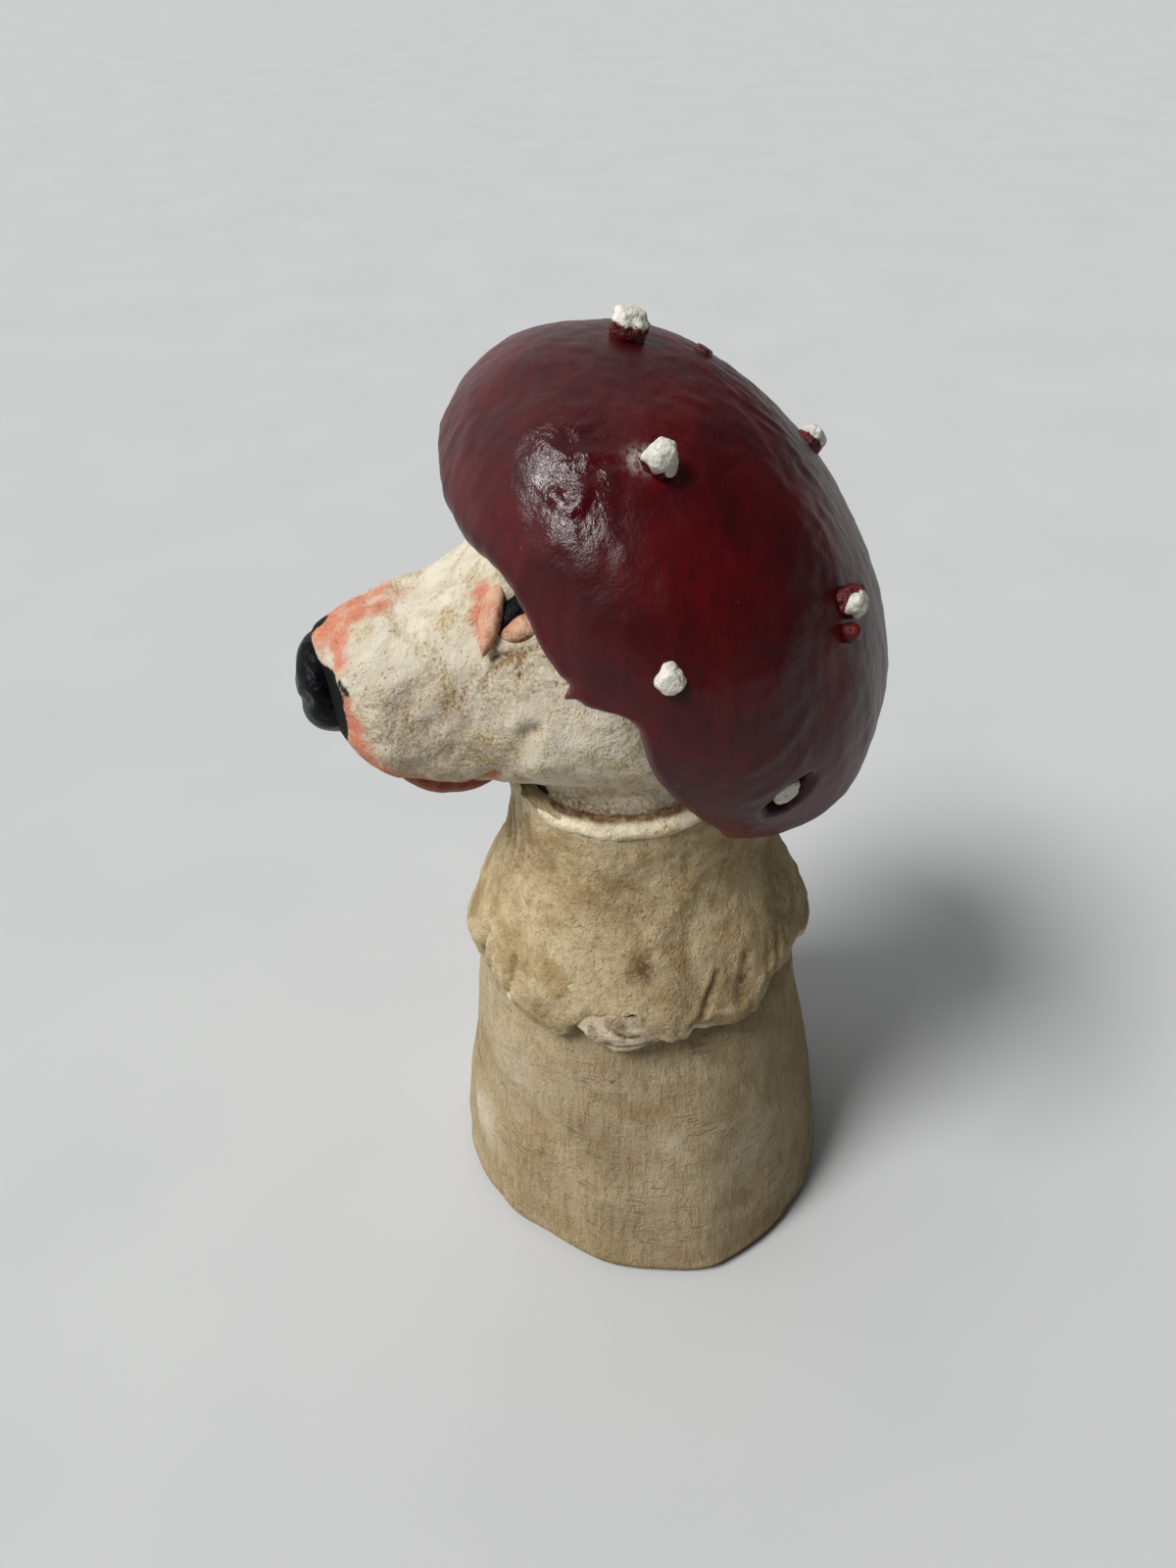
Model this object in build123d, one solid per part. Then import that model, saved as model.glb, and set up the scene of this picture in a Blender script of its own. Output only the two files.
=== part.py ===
from build123d import *
import math
import os

# Ceramic mushroom ornament: an animal's head under a tilted mushroom cap, on a flared hollow stem
# with a frilled skirt. Millimetres, +Z up, muzzle towards -Y, origin at the middle of the underside.
# Every piece is a clay piece formed by itself and luted to the next with slip. Nothing moves.

# Fits between clay pieces
SLIP_GAP = 0.25  # radial room that the slip takes between a plug and its socket

# Stem: a hollow cone that narrows to a straight neck, closed underneath by a slab
STEM_HEIGHT = 101.0
STEM_WALL = 5.5
FOOT_R = 39.3
FOOT_ROUND = 3.0
WAIST_R = 29.6  # outer radius of the stem at the skirt's hem
NECK_R = 22.4
SLAB_THICKNESS = 5.0

# Skirt: a strip of clay wrapped round the stem, thin at its top and frilled at its hem
SKIRT_HEM_Z = 60.0
SKIRT_TOP_Z = 84.0
SKIRT_TOP_THICKNESS = 0.8
SKIRT_HEM_THICKNESS = 4.2
SKIRT_BELLY = 1.4  # how far the skirt swells past a straight slope at its middle
FRILL_DEPTH = 0.9
FRILL_LOBES = 7
NOTCH_DEPTH = 4.5
NOTCH_R = 9.0
NOTCH_ANGLES = (14, 52, 97, 143, 188, 236, 281, 322)

# Tab: the end of the skirt's strip, tucked under the seam on the left side
TAB_ANGLE = -7.0
TAB_LENGTH = 15.0
TAB_THICKNESS = 7.0
TAB_DROP = 0.4  # the tab's middle above the hem

# Neck coil: a roll of soft clay that seals the head to the stem's rim
COIL_R = 2.0

# Head: stations along the muzzle, each (y, underside, top, widest height, half width), with heights
# above the stem's rim; y is a share of the head's length, and the rest of its height and half width
HEAD_WALL = 5.5
HEAD_LENGTH = 79.5
HEAD_HEIGHT = 53.0
HEAD_HALF_WIDTH = 26.0
STATION_SHARES = (
    (-0.648, 0.189, 0.483, 0.340, 0.231),
    (-0.623, 0.147, 0.532, 0.311, 0.331),
    (-0.585, 0.087, 0.574, 0.274, 0.477),
    (-0.528, 0.038, 0.608, 0.260, 0.600),
    (-0.428, 0.011, 0.660, 0.274, 0.662),
    (-0.340, 0.011, 0.751, 0.311, 0.715),
    (-0.245, 0.019, 0.849, 0.358, 0.827),
    (-0.101, 0.019, 0.953, 0.396, 0.962),
    (0.063, 0.019, 1.000, 0.415, 1.000),
    (0.201, 0.047, 0.943, 0.434, 0.885),
    (0.302, 0.151, 0.802, 0.472, 0.596),
    (0.352, 0.302, 0.642, 0.472, 0.269),
)
HEAD_STATIONS = [
    (y * HEAD_LENGTH, *(share * HEAD_HEIGHT for share in heights), half * HEAD_HALF_WIDTH)
    for y, *heights, half in STATION_SHARES
]
MUZZLE_END = HEAD_STATIONS[0]
HEAD_BACK = HEAD_STATIONS[-1][0]
EYE_STATION = HEAD_STATIONS[6]
SECTION_POINTS = 14
CAVITY_STATIONS = HEAD_STATIONS[3:-2]
NECK_LEDGE = 2.2  # width of the stem's rim left bare round the head
NECK_RISE = 13.0
SPIGOT_LENGTH = 8.0
VENT_R = 0.9
VENT_ANGLE = -46.0  # from the left side towards the muzzle
VENT_HEIGHT = 5.5

# Face
NOSE_HALF_WIDTH = 9.8
NOSE_HALF_HEIGHT = 9.3
NOSE_DEPTH = 6.6
NOSE_BACK = 1.6  # the nose's middle behind the muzzle's end
NOSE_DROP = 1.6  # the nose's middle below the middle of the muzzle's end
NOSE_TILT = 24.0  # the nose faces this far below level
NOSTRIL_R = 1.5
NOSTRIL_SPREAD = 5.6  # from the middle to each nostril
JAW_R = 11.8
JAW_DEPTH = 4.5
JAW_Y = -0.41 * HEAD_LENGTH
JAW_SINK = 1.4  # the jaw's middle above the underside of the muzzle
EYE_R = 3.6
EYE_ANGLE = 44.5  # up from the widest height of the eye's station
EYE_PROUD = 0.9
LOWER_LID_LENGTH = 9.0
LOWER_LID_THICKNESS = 4.4
LOWER_LID_BACK = 1.6  # behind the eye's middle
LOWER_LID_ANGLE = 34.0
UPPER_LID_LENGTH = 10.0
UPPER_LID_THICKNESS = 3.4
UPPER_LID_FRONT = 2.8  # in front of the eye's middle

# Cap: part of a hollow ellipsoid, tilted back, cut off at its rim
CAP_TILT = 53.2
CAP_FORWARD = 23.5  # the cap's middle in front of the back of the head
CAP_RISE = 33.3  # the cap's middle above the stem's rim
CAP_R = 43.8
CAP_HALF_HEIGHT = 28.6
CAP_WALL = 6.0
RIM_BROW_DROP = 12.6  # the rim below the cap's middle, where it is deepest
RIM_SIDE_DROP = 6.9
RIM_NAPE_DROP = 8.2
RIM_ROUND = 2.2
CROWN_PAD_R = 13.0

# Warts: clay pegs in sockets in the cap, each (azimuth, polar angle, radius, height above the cap).
# Azimuth 180 is the brow, 90 the left side and 0 the nape; polar angle 0 is the crown.
WARTS = {
    "brow": (176.5, 52, 2.6, 3.7),
    "left_brow": (135, 59, 2.2, 4.4),
    "crown": (-104, 10, 2.3, 3.0),
    "left_crown": (77.5, 37, 2.3, 3.4),
    "left_side": (102, 84.6, 2.2, 2.2),
    "right_crown": (-166.5, 33.5, 1.8, 1.0),
    "right_brow": (-128, 62, 2.4, 3.8),
    "right_side": (-96, 84, 2.5, 3.2),
    "right_back": (-62, 50, 2.3, 3.6),
    "right_nape": (-48, 84, 2.4, 2.8),
    "nape": (-22, 66, 2.4, 3.2),
}
WART_ROUND = 0.8
SOCKET_DEPTH = 3.4
SUNK_WART = (63, 84, 2.2, -0.4)  # the left nape's wart, which lies below the cap's surface
PIT_LENGTH = 9.0
BEAD_R = 1.5
BEAD_SITE = (75, 43)  # a loose crumb of clay beside the left crown's wart

BIG = 200.0  # longer than any piece, for cutting planes


def spheroid(radius, half_height):
    """A squashed or stretched ball, round about +Z."""
    return scale(Sphere(1), by=(radius, radius, half_height))


def prone(shape):
    """The shape with its +Z laid along +Y."""
    return Rot(-90, 0, 0) * shape


def save(name, shape):
    shape.label = name
    export_step(shape, f"parts/{name}.step")


# Stem


def turned_stem(inset):
    """The solid inside the stem's outline, moved inwards by inset."""
    side = Spline(
        (FOOT_R - inset, 0),
        (WAIST_R - inset, SKIRT_HEM_Z),
        (NECK_R - inset, SKIRT_TOP_Z),
        (NECK_R - inset, STEM_HEIGHT),
        tangents=[(WAIST_R - FOOT_R, SKIRT_HEM_Z), (0, 1)],
    )
    outline = Polyline(side @ 1, (0, STEM_HEIGHT), (0, 0), side @ 0)
    return revolve(Plane.XZ * make_face(side + outline), Axis.Z)


def make_stem():
    shell = turned_stem(0) - turned_stem(STEM_WALL)
    foot_edge = shell.edges().group_by(Axis.Z)[0].sort_by(SortBy.RADIUS)[-1]
    return fillet(foot_edge, FOOT_ROUND)


def make_slab():
    inside = turned_stem(STEM_WALL + SLIP_GAP)
    return split(inside, bisect_by=Plane.XY.offset(SLAB_THICKNESS), keep=Keep.BOTTOM)


# Skirt and its tab


def skirt_ring(z, radius, frill):
    points = []
    for step in range(4 * FRILL_LOBES):
        angle = 2 * math.pi * step / (4 * FRILL_LOBES)
        wave = 0.7 * math.sin(FRILL_LOBES * angle) + 0.3 * math.sin(3 * angle + 1)
        reach = radius + frill * wave
        points.append((reach * math.cos(angle), reach * math.sin(angle)))
    return Pos(0, 0, z) * make_face(Spline(*points, periodic=True))


def make_skirt():
    middle_z = (SKIRT_HEM_Z + SKIRT_TOP_Z) / 2
    hem_r = WAIST_R + SKIRT_HEM_THICKNESS
    top_r = NECK_R + SKIRT_TOP_THICKNESS
    middle_r = (hem_r + top_r) / 2 + SKIRT_BELLY
    strip = loft(
        [
            skirt_ring(SKIRT_HEM_Z, hem_r, FRILL_DEPTH),
            skirt_ring(middle_z, middle_r, FRILL_DEPTH / 2),
            skirt_ring(SKIRT_TOP_Z, top_r, 0),
        ]
    )
    for angle in NOTCH_ANGLES:
        notch = Rot(0, 90, 0) * Cylinder(NOTCH_R, BIG, align=(Align.CENTER, Align.CENTER, Align.MIN))
        strip -= Rot(0, 0, angle) * Pos(0, 0, SKIRT_HEM_Z + NOTCH_DEPTH - NOTCH_R) * notch
    return strip - turned_stem(0)


def make_tab(skirt):
    reach = WAIST_R + SKIRT_HEM_THICKNESS - TAB_THICKNESS / 2
    roll = prone(spheroid(TAB_THICKNESS / 2, TAB_LENGTH / 2))
    pad = Pos(reach, 0, SKIRT_HEM_Z + TAB_DROP) * roll
    return Rot(0, 0, TAB_ANGLE) * pad - turned_stem(0) - skirt


# Head


def station_point(station, angle, inset=0):
    """A point of a head station's outline: angle 0 is its left side, 90 its top."""
    y, bottom, top, widest, half_width = station
    across = math.cos(math.radians(angle))
    up = math.sin(math.radians(angle))
    reach = (top - widest if up > 0 else widest - bottom) - inset
    return Vector((half_width - inset) * across, y, STEM_HEIGHT + widest + reach * up)


def station_face(station, inset=0):
    angles = [360 * step / SECTION_POINTS - 90 for step in range(SECTION_POINTS)]
    return make_face(Spline(*[station_point(station, a, inset) for a in angles], periodic=True))


def head_form():
    """The outside of the head with its neck and spigot, filled."""
    skull = loft([station_face(station) for station in HEAD_STATIONS])
    on_rim = Pos(0, 0, STEM_HEIGHT)
    upright = (Align.CENTER, Align.CENTER, Align.MIN)
    neck = on_rim * Cylinder(NECK_R - NECK_LEDGE, NECK_RISE, align=upright)
    spigot_r = NECK_R - STEM_WALL - SLIP_GAP
    spigot = on_rim * Pos(0, 0, -SPIGOT_LENGTH) * Cylinder(spigot_r, SPIGOT_LENGTH, align=upright)
    return skull + neck + spigot


def make_head(form):
    cavity = loft([station_face(station, HEAD_WALL) for station in CAVITY_STATIONS])
    bore_r = NECK_R - STEM_WALL - SLIP_GAP - HEAD_WALL
    bore_length = SPIGOT_LENGTH + NECK_RISE
    bore_low = Pos(0, 0, STEM_HEIGHT - SPIGOT_LENGTH)
    bore = bore_low * Cylinder(bore_r, bore_length, align=(Align.CENTER, Align.CENTER, Align.MIN))
    vent_way = Rot(0, 90, 0) * Cylinder(VENT_R, BIG, align=(Align.CENTER, Align.CENTER, Align.MIN))
    vent = Pos(0, 0, STEM_HEIGHT + VENT_HEIGHT) * Rot(0, 0, VENT_ANGLE) * vent_way
    head = form - cavity - bore - vent
    for side in (1, -1):
        head -= on_side(eye_ball(SLIP_GAP), side)
    return head


# Face


def eye_middle():
    on_skin = station_point(EYE_STATION, EYE_ANGLE)
    out = math.radians(EYE_ANGLE)
    inwards = EYE_R - EYE_PROUD
    return on_skin - Vector(math.cos(out), 0, math.sin(out)) * inwards


def eye_ball(room):
    return Pos(*eye_middle()) * Rot(0, 90 - EYE_ANGLE, 0) * Sphere(EYE_R + room)


def on_side(shape, side):
    """The shape on the left side (1), or mirrored to the right side (-1)."""
    return shape if side > 0 else mirror(shape, Plane.YZ)


def make_lower_lid(form, side):
    middle = station_point(EYE_STATION, LOWER_LID_ANGLE) + Vector(0, LOWER_LID_BACK, 0)
    roll = prone(spheroid(LOWER_LID_THICKNESS / 2, LOWER_LID_LENGTH / 2))
    return on_side(Pos(*middle) * roll, side) - form - on_side(eye_ball(SLIP_GAP), side)


def make_upper_lid(form, side, lower_lid):
    middle = station_point(EYE_STATION, EYE_ANGLE) - Vector(0, UPPER_LID_FRONT, 0)
    roll = Rot(0, -EYE_ANGLE, 0) * spheroid(UPPER_LID_THICKNESS / 2, UPPER_LID_LENGTH / 2)
    return on_side(Pos(*middle) * roll, side) - form - on_side(eye_ball(SLIP_GAP), side) - lower_lid


def make_nose(form):
    y, bottom, top, _, _ = MUZZLE_END
    height = STEM_HEIGHT + (bottom + top) / 2 - NOSE_DROP
    place = Pos(0, y + NOSE_BACK, height) * Rot(NOSE_TILT, 0, 0)
    nose = place * scale(Sphere(1), by=(NOSE_HALF_WIDTH, NOSE_DEPTH, NOSE_HALF_HEIGHT)) - form
    depth = NOSE_DEPTH * math.sqrt(1 - (NOSTRIL_SPREAD / NOSE_HALF_WIDTH) ** 2)
    for side in (-1, 1):
        nose -= place * Pos(side * NOSTRIL_SPREAD, -depth, 0) * Sphere(NOSTRIL_R)
    return nose


def make_jaw(form):
    floor = STEM_HEIGHT + min(station[1] for station in HEAD_STATIONS)
    pad = Pos(0, JAW_Y, floor + JAW_SINK) * spheroid(JAW_R, JAW_DEPTH)
    collar = Cylinder(NECK_R + COIL_R, STEM_HEIGHT + JAW_DEPTH, align=(Align.CENTER, Align.CENTER, Align.MIN))
    return pad - form - collar


# Joint between stem and head


def make_coil(form):
    ring = Pos(0, 0, STEM_HEIGHT) * Torus(NECK_R - NECK_LEDGE / 2, COIL_R)
    return ring - turned_stem(0) - form


# Cap and warts, made in the cap's own frame: +Y towards the nape, +Z out of the crown


def cap_place():
    return Pos(0, HEAD_BACK - CAP_FORWARD, STEM_HEIGHT + CAP_RISE) * Rot(-CAP_TILT, 0, 0)


def cap_dome(inset):
    return spheroid(CAP_R - inset, CAP_HALF_HEIGHT - inset)


def cap_site(azimuth, polar):
    """A plane on the cap's surface at those angles, facing outwards."""
    a, p = math.radians(azimuth), math.radians(polar)
    unit = (math.sin(p) * math.sin(a), math.sin(p) * math.cos(a), math.cos(p))
    half = (CAP_R, CAP_R, CAP_HALF_HEIGHT)
    point = Vector(*[u * h for u, h in zip(unit, half)])
    normal = Vector(*[u / h for u, h in zip(unit, half)])
    return Plane(origin=point, z_dir=normal)


def peg(radius, low, high):
    return Pos(0, 0, low) * Cylinder(radius, high - low, align=(Align.CENTER, Align.CENTER, Align.MIN))


def make_wart(azimuth, polar, radius, proud):
    plug = peg(radius, -SOCKET_DEPTH, proud)
    plug = fillet(plug.edges().group_by(Axis.Z)[-1], WART_ROUND)
    return cap_place() * cap_site(azimuth, polar).location * plug


def make_bead():
    bead = cap_site(*BEAD_SITE).location * Pos(0, 0, BEAD_R / 2) * Sphere(BEAD_R)
    return cap_place() * (bead - cap_dome(0))


def socket(azimuth, polar, radius, _):
    hole = peg(radius + SLIP_GAP, -SOCKET_DEPTH, BIG / 4)
    return cap_site(azimuth, polar).location * hole


def make_cap(form):
    edge = Spline((-CAP_R, -RIM_BROW_DROP), (0, -RIM_SIDE_DROP), (CAP_R, -RIM_NAPE_DROP))
    below = Polyline(edge @ 1, (CAP_R, -CAP_R), (-CAP_R, -CAP_R), edge @ 0)
    waste = extrude(Plane.YZ * make_face(edge + below), CAP_R, both=True)
    shell = cap_dome(0) - cap_dome(CAP_WALL) - waste
    shell = fillet(shell.faces().sort_by(Axis.Z)[0].edges(), RIM_ROUND)
    for wart in [*WARTS.values(), SUNK_WART]:
        shell -= socket(*wart)
    pit = prone(spheroid(SUNK_WART[2] + SLIP_GAP, PIT_LENGTH / 2))
    shell -= cap_site(SUNK_WART[0], SUNK_WART[1]).location * pit
    collar_top = STEM_HEIGHT + COIL_R + SLIP_GAP
    collar = Cylinder(NECK_R + COIL_R + SLIP_GAP, collar_top, align=(Align.CENTER, Align.CENTER, Align.MIN))
    return cap_place() * shell - form - collar


def make_crown_pad(form):
    column = Cylinder(CROWN_PAD_R, BIG, align=(Align.CENTER, Align.CENTER, Align.MIN))
    return cap_place() * (column & cap_dome(CAP_WALL)) - form


def main():
    os.makedirs("parts", exist_ok=True)
    form = head_form()
    skirt = make_skirt()
    save("stem", make_stem())
    save("base_slab", make_slab())
    save("skirt", skirt)
    save("skirt_seam_tab", make_tab(skirt))
    save("neck_coil", make_coil(form))
    save("head", make_head(form))
    save("nose", make_nose(form))
    save("lower_jaw", make_jaw(form))
    for side, word in ((1, "left"), (-1, "right")):
        lower_lid = make_lower_lid(form, side)
        save(f"eye_{word}", on_side(eye_ball(0), side))
        save(f"lower_eyelid_{word}", lower_lid)
        save(f"upper_eyelid_{word}", make_upper_lid(form, side, lower_lid))
    save("cap", make_cap(form))
    save("crown_pad", make_crown_pad(form))
    for place, wart in WARTS.items():
        save(f"cap_wart_{place}", make_wart(*wart))
    save("cap_wart_left_nape", make_wart(*SUNK_WART))
    save("cap_wart_bead", make_bead())


main()
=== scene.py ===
import math

import bpy
import numpy as np
from mathutils import Matrix


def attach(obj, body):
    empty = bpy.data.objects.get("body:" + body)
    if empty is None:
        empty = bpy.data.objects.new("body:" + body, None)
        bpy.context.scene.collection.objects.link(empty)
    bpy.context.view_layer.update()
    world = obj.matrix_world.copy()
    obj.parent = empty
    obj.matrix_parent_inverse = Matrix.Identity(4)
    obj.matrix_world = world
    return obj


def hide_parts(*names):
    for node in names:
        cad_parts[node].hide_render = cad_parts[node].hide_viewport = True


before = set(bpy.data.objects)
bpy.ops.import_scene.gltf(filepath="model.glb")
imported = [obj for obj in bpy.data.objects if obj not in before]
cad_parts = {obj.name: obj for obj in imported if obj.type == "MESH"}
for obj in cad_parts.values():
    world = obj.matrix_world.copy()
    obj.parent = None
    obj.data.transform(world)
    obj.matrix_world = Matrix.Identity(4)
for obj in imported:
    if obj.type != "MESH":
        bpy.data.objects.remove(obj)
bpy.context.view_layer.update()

# Sizes of the solids, in millimetres, as in the part's source
MM = 0.001
RIM_Z = 101.0
FOOT_R = 39.3
FOOT_ROUND = 3.0
WAIST_R = 29.6
NECK_R = 22.4
MOUTH_R = 16.9
STEM_WALL = 5.5
SKIRT_HEM_Z = 60.0
SKIRT_TOP_Z = 84.0
COIL_RING_R = 21.3
COIL_R = 2.0
CAP_MIDDLE = np.array([0.0, 4.5, 134.3])
CAP_TILT = math.radians(53.2)
CAP_R = 43.8
CAP_HALF_HEIGHT = 28.6
CAP_WALL = 6.0

# The cap's own directions: to the left side, down to the nape, and out of the crown
CAP_AXES = np.array([
    [1.0, 0.0, 0.0],
    [0.0, math.cos(CAP_TILT), -math.sin(CAP_TILT)],
    [0.0, math.sin(CAP_TILT), math.cos(CAP_TILT)],
])


# Modelling by hand: points drawn out and spun, rings drawn out and resized, balls of clay


def deselect_all():
    bpy.ops.object.select_all(action="DESELECT")


def edit(piece, *steps):
    deselect_all()
    bpy.context.view_layer.objects.active = piece
    piece.select_set(True)
    bpy.ops.object.mode_set(mode="EDIT")
    bpy.ops.mesh.select_all(action="SELECT")
    for step, settings in steps:
        step(**settings)
    bpy.ops.object.mode_set(mode="OBJECT")
    deselect_all()


def close_skin(piece):
    """Merges the seams and poles of a skin and turns its faces outwards."""
    edit(
        piece,
        (bpy.ops.mesh.remove_doubles, {"threshold": 0.01 * MM}),
        (bpy.ops.mesh.normals_make_consistent, {"inside": False}),
    )


def turned(name, profile, steps):
    """A skin turned about Z: one point is drawn out along the profile, and the line is spun."""
    deselect_all()
    bpy.ops.mesh.primitive_plane_add(size=MM)
    piece = bpy.context.object
    piece.name = name
    bpy.ops.object.mode_set(mode="EDIT")
    bpy.ops.mesh.select_all(action="SELECT")
    bpy.ops.mesh.merge(type="CENTER")
    here = (0.0, 0.0)
    for count, (radius, height) in enumerate(profile):
        move = ((radius - here[0]) * MM, 0, (height - here[1]) * MM)
        if count == 0:
            bpy.ops.transform.translate(value=move)
        else:
            bpy.ops.mesh.extrude_region_move(TRANSFORM_OT_translate={"value": move})
        here = (radius, height)
    bpy.ops.mesh.select_all(action="SELECT")
    bpy.ops.mesh.spin(steps=steps, angle=2 * math.pi, center=(0, 0, 0), axis=(0, 0, 1))
    bpy.ops.object.mode_set(mode="OBJECT")
    close_skin(piece)
    return piece


def lofted(name, rings, around):
    """A skin through upright ovals along Y, each (y, middle height, half width, half height)."""
    deselect_all()
    upright = (math.pi / 2, 0, 0)
    bpy.ops.mesh.primitive_circle_add(vertices=around, radius=MM, fill_type="NGON", rotation=upright)
    piece = bpy.context.object
    piece.name = name
    bpy.ops.object.transform_apply(rotation=True)
    bpy.ops.object.mode_set(mode="EDIT")
    bpy.ops.mesh.select_all(action="SELECT")
    y, middle, half, tall = rings[0]
    bpy.ops.transform.resize(value=(half, 1, tall), center_override=(0, 0, 0))
    bpy.ops.transform.translate(value=(0, y * MM, middle * MM))
    for last, ring in zip(rings[:-1], rings[1:]):
        move = (0, (ring[0] - last[0]) * MM, (ring[1] - last[1]) * MM)
        bpy.ops.mesh.extrude_region_move(TRANSFORM_OT_translate={"value": move})
        size = (ring[2] / last[2], 1, ring[3] / last[3])
        bpy.ops.transform.resize(value=size, center_override=(0, ring[0] * MM, ring[1] * MM))
    bpy.ops.object.mode_set(mode="OBJECT")
    close_skin(piece)
    return piece


def clay_ball(name, detail, size):
    """A ball about the origin, pressed to half sizes along X, Y and Z."""
    deselect_all()
    bpy.ops.mesh.primitive_ico_sphere_add(subdivisions=detail, radius=MM)
    piece = bpy.context.object
    piece.name = name
    edit(piece, (bpy.ops.transform.resize, {"value": size, "center_override": (0, 0, 0)}))
    return piece


def apply_modifier(piece, kind, **settings):
    bpy.context.view_layer.objects.active = piece
    modifier = piece.modifiers.new(kind.lower(), kind)
    for name, value in settings.items():
        setattr(modifier, name, value)
    bpy.ops.object.modifier_apply(modifier=modifier.name)


def finish_piece(piece, finish, slot, *nodes, angle=60):
    deselect_all()
    bpy.context.view_layer.objects.active = piece
    piece.select_set(True)
    bpy.ops.object.shade_smooth_by_angle(angle=math.radians(angle))
    piece.select_set(False)
    piece.data.materials.clear()
    piece.data.materials.append(finish)
    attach(piece, "root")
    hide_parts(*nodes)


# Sculpting: what no operator gives. The points of a piece are read, pushed and put back, in millimetres


def points_of(piece):
    flat = np.empty(3 * len(piece.data.vertices))
    piece.data.vertices.foreach_get("co", flat)
    return flat.reshape(-1, 3) / MM


def put_points(piece, points):
    piece.data.vertices.foreach_set("co", (np.asarray(points) * MM).ravel())
    piece.data.update()


def normals_of(piece):
    flat = np.empty(3 * len(piece.data.vertices))
    piece.data.vertex_normals.foreach_get("vector", flat)
    return flat.reshape(-1, 3)


def paint(piece, name, values):
    layer = piece.data.attributes.new(name, "FLOAT", "POINT")
    layer.data.foreach_set("value", np.clip(values, 0, 1).astype(np.float32))


def lumps(points, cell, seed):
    """Smooth noise from -1 to 1, with lumps about one cell wide."""
    grid = np.asarray(points) / cell + 17.31 * seed
    low = np.floor(grid)
    part = grid - low
    part = part * part * (3 - 2 * part)
    total = np.zeros(len(grid))
    for corner in range(8):
        step = np.array([corner & 1, corner >> 1 & 1, corner >> 2 & 1])
        wave = np.sin((low + step) @ np.array([127.1, 311.7, 74.7])) * 43758.5453
        share = np.prod(np.where(step == 1, part, 1 - part), axis=1)
        total += share * (2 * (wave - np.floor(wave)) - 1)
    return total


def fade(values, start, end):
    """0 before start, 1 after end, smooth between."""
    part = np.clip((values - start) / (end - start), 0, 1)
    return part * part * (3 - 2 * part)


def ball(points, middle, radius):
    """1 at middle, falling off smoothly to nothing past radius."""
    far = np.linalg.norm(points - np.asarray(middle), axis=1) / radius
    return np.exp(-2 * far * far)


def path_distance(points, path):
    path = np.asarray(path, float)
    nearest = np.full(len(points), 1e9)
    for start, end in zip(path[:-1], path[1:]):
        run = end - start
        share = np.clip((points - start) @ run / (run @ run), 0, 1)
        nearest = np.minimum(nearest, np.linalg.norm(points - start - share[:, None] * run, axis=1))
    return nearest


def crease(points, path, width, depth, bank=0.35):
    """How far a groove along path moves each point, with a raised bank on both sides."""
    far = path_distance(points, path) / width
    return depth * (bank * np.exp(-((far - 2.2) ** 2)) - np.exp(-far * far))


def curve_through(knots, values, at):
    """A smooth curve through values at the knots."""
    knots, values = np.asarray(knots, float), np.asarray(values, float)
    slopes = np.gradient(values, knots)
    at = np.clip(at, knots[0], knots[-1])
    cell = np.clip(np.searchsorted(knots, at) - 1, 0, len(knots) - 2)
    width = knots[cell + 1] - knots[cell]
    t = (at - knots[cell]) / width
    early = (1 + 2 * t) * (1 - t) ** 2 * values[cell] + t * (1 - t) ** 2 * width * slopes[cell]
    late = t * t * (3 - 2 * t) * values[cell + 1] + t * t * (t - 1) * width * slopes[cell + 1]
    return early + late


def unit(vectors):
    """The same directions with a length of 1, for one vector or for rows of them."""
    vectors = np.asarray(vectors, float)
    return vectors / np.linalg.norm(vectors, axis=-1, keepdims=True)


def mirrored(points):
    return np.asarray(points, float) * np.array([-1.0, 1.0, 1.0])


def angle_of(points):
    """Degrees round Z: 0 at the left side, -90 under the muzzle."""
    return np.degrees(np.arctan2(points[:, 1], points[:, 0]))


def outwards(degrees):
    turn = np.radians(degrees)
    return np.column_stack([np.cos(turn), np.sin(turn), np.zeros(len(turn))])


# Finishes


def add_node(tree, kind, settings=None, values=None, output=0):
    """Adds a node with its settings and the values or wires of its sockets, and gives one output."""
    node = tree.nodes.new(kind)
    for name, value in (settings or {}).items():
        setattr(node, name, value)
    for socket, value in (values or {}).items():
        plug(tree, node.inputs[socket], value)
    return Wire(tree, node.outputs[output])


def plug(tree, socket, value):
    if isinstance(value, Wire):
        tree.links.new(value.socket, socket)
    else:
        socket.default_value = value


class Wire:
    """A value in a material, with arithmetic that adds Math nodes."""

    def __init__(self, tree, socket):
        self.tree = tree
        self.socket = socket

    def math(self, operation, first, second=0.0, clamp=False):
        settings = {"operation": operation, "use_clamp": clamp}
        return add_node(self.tree, "ShaderNodeMath", settings, {0: first, 1: second})

    def __add__(self, other):
        return self.math("ADD", self, other)

    __radd__ = __add__

    def __mul__(self, other):
        return self.math("MULTIPLY", self, other)

    __rmul__ = __mul__

    def __sub__(self, other):
        return self.math("SUBTRACT", self, other)

    def __rsub__(self, other):
        return self.math("SUBTRACT", other, self)

    def clamped(self):
        return self.math("ADD", self, 0.0, clamp=True)

    def above(self, start, end):
        """0 where the value is under start, 1 over end, smooth between."""
        settings = {"interpolation_type": "SMOOTHSTEP"}
        values = {"Value": self, "From Min": start, "From Max": end}
        return add_node(self.tree, "ShaderNodeMapRange", settings, values, "Result")


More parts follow.
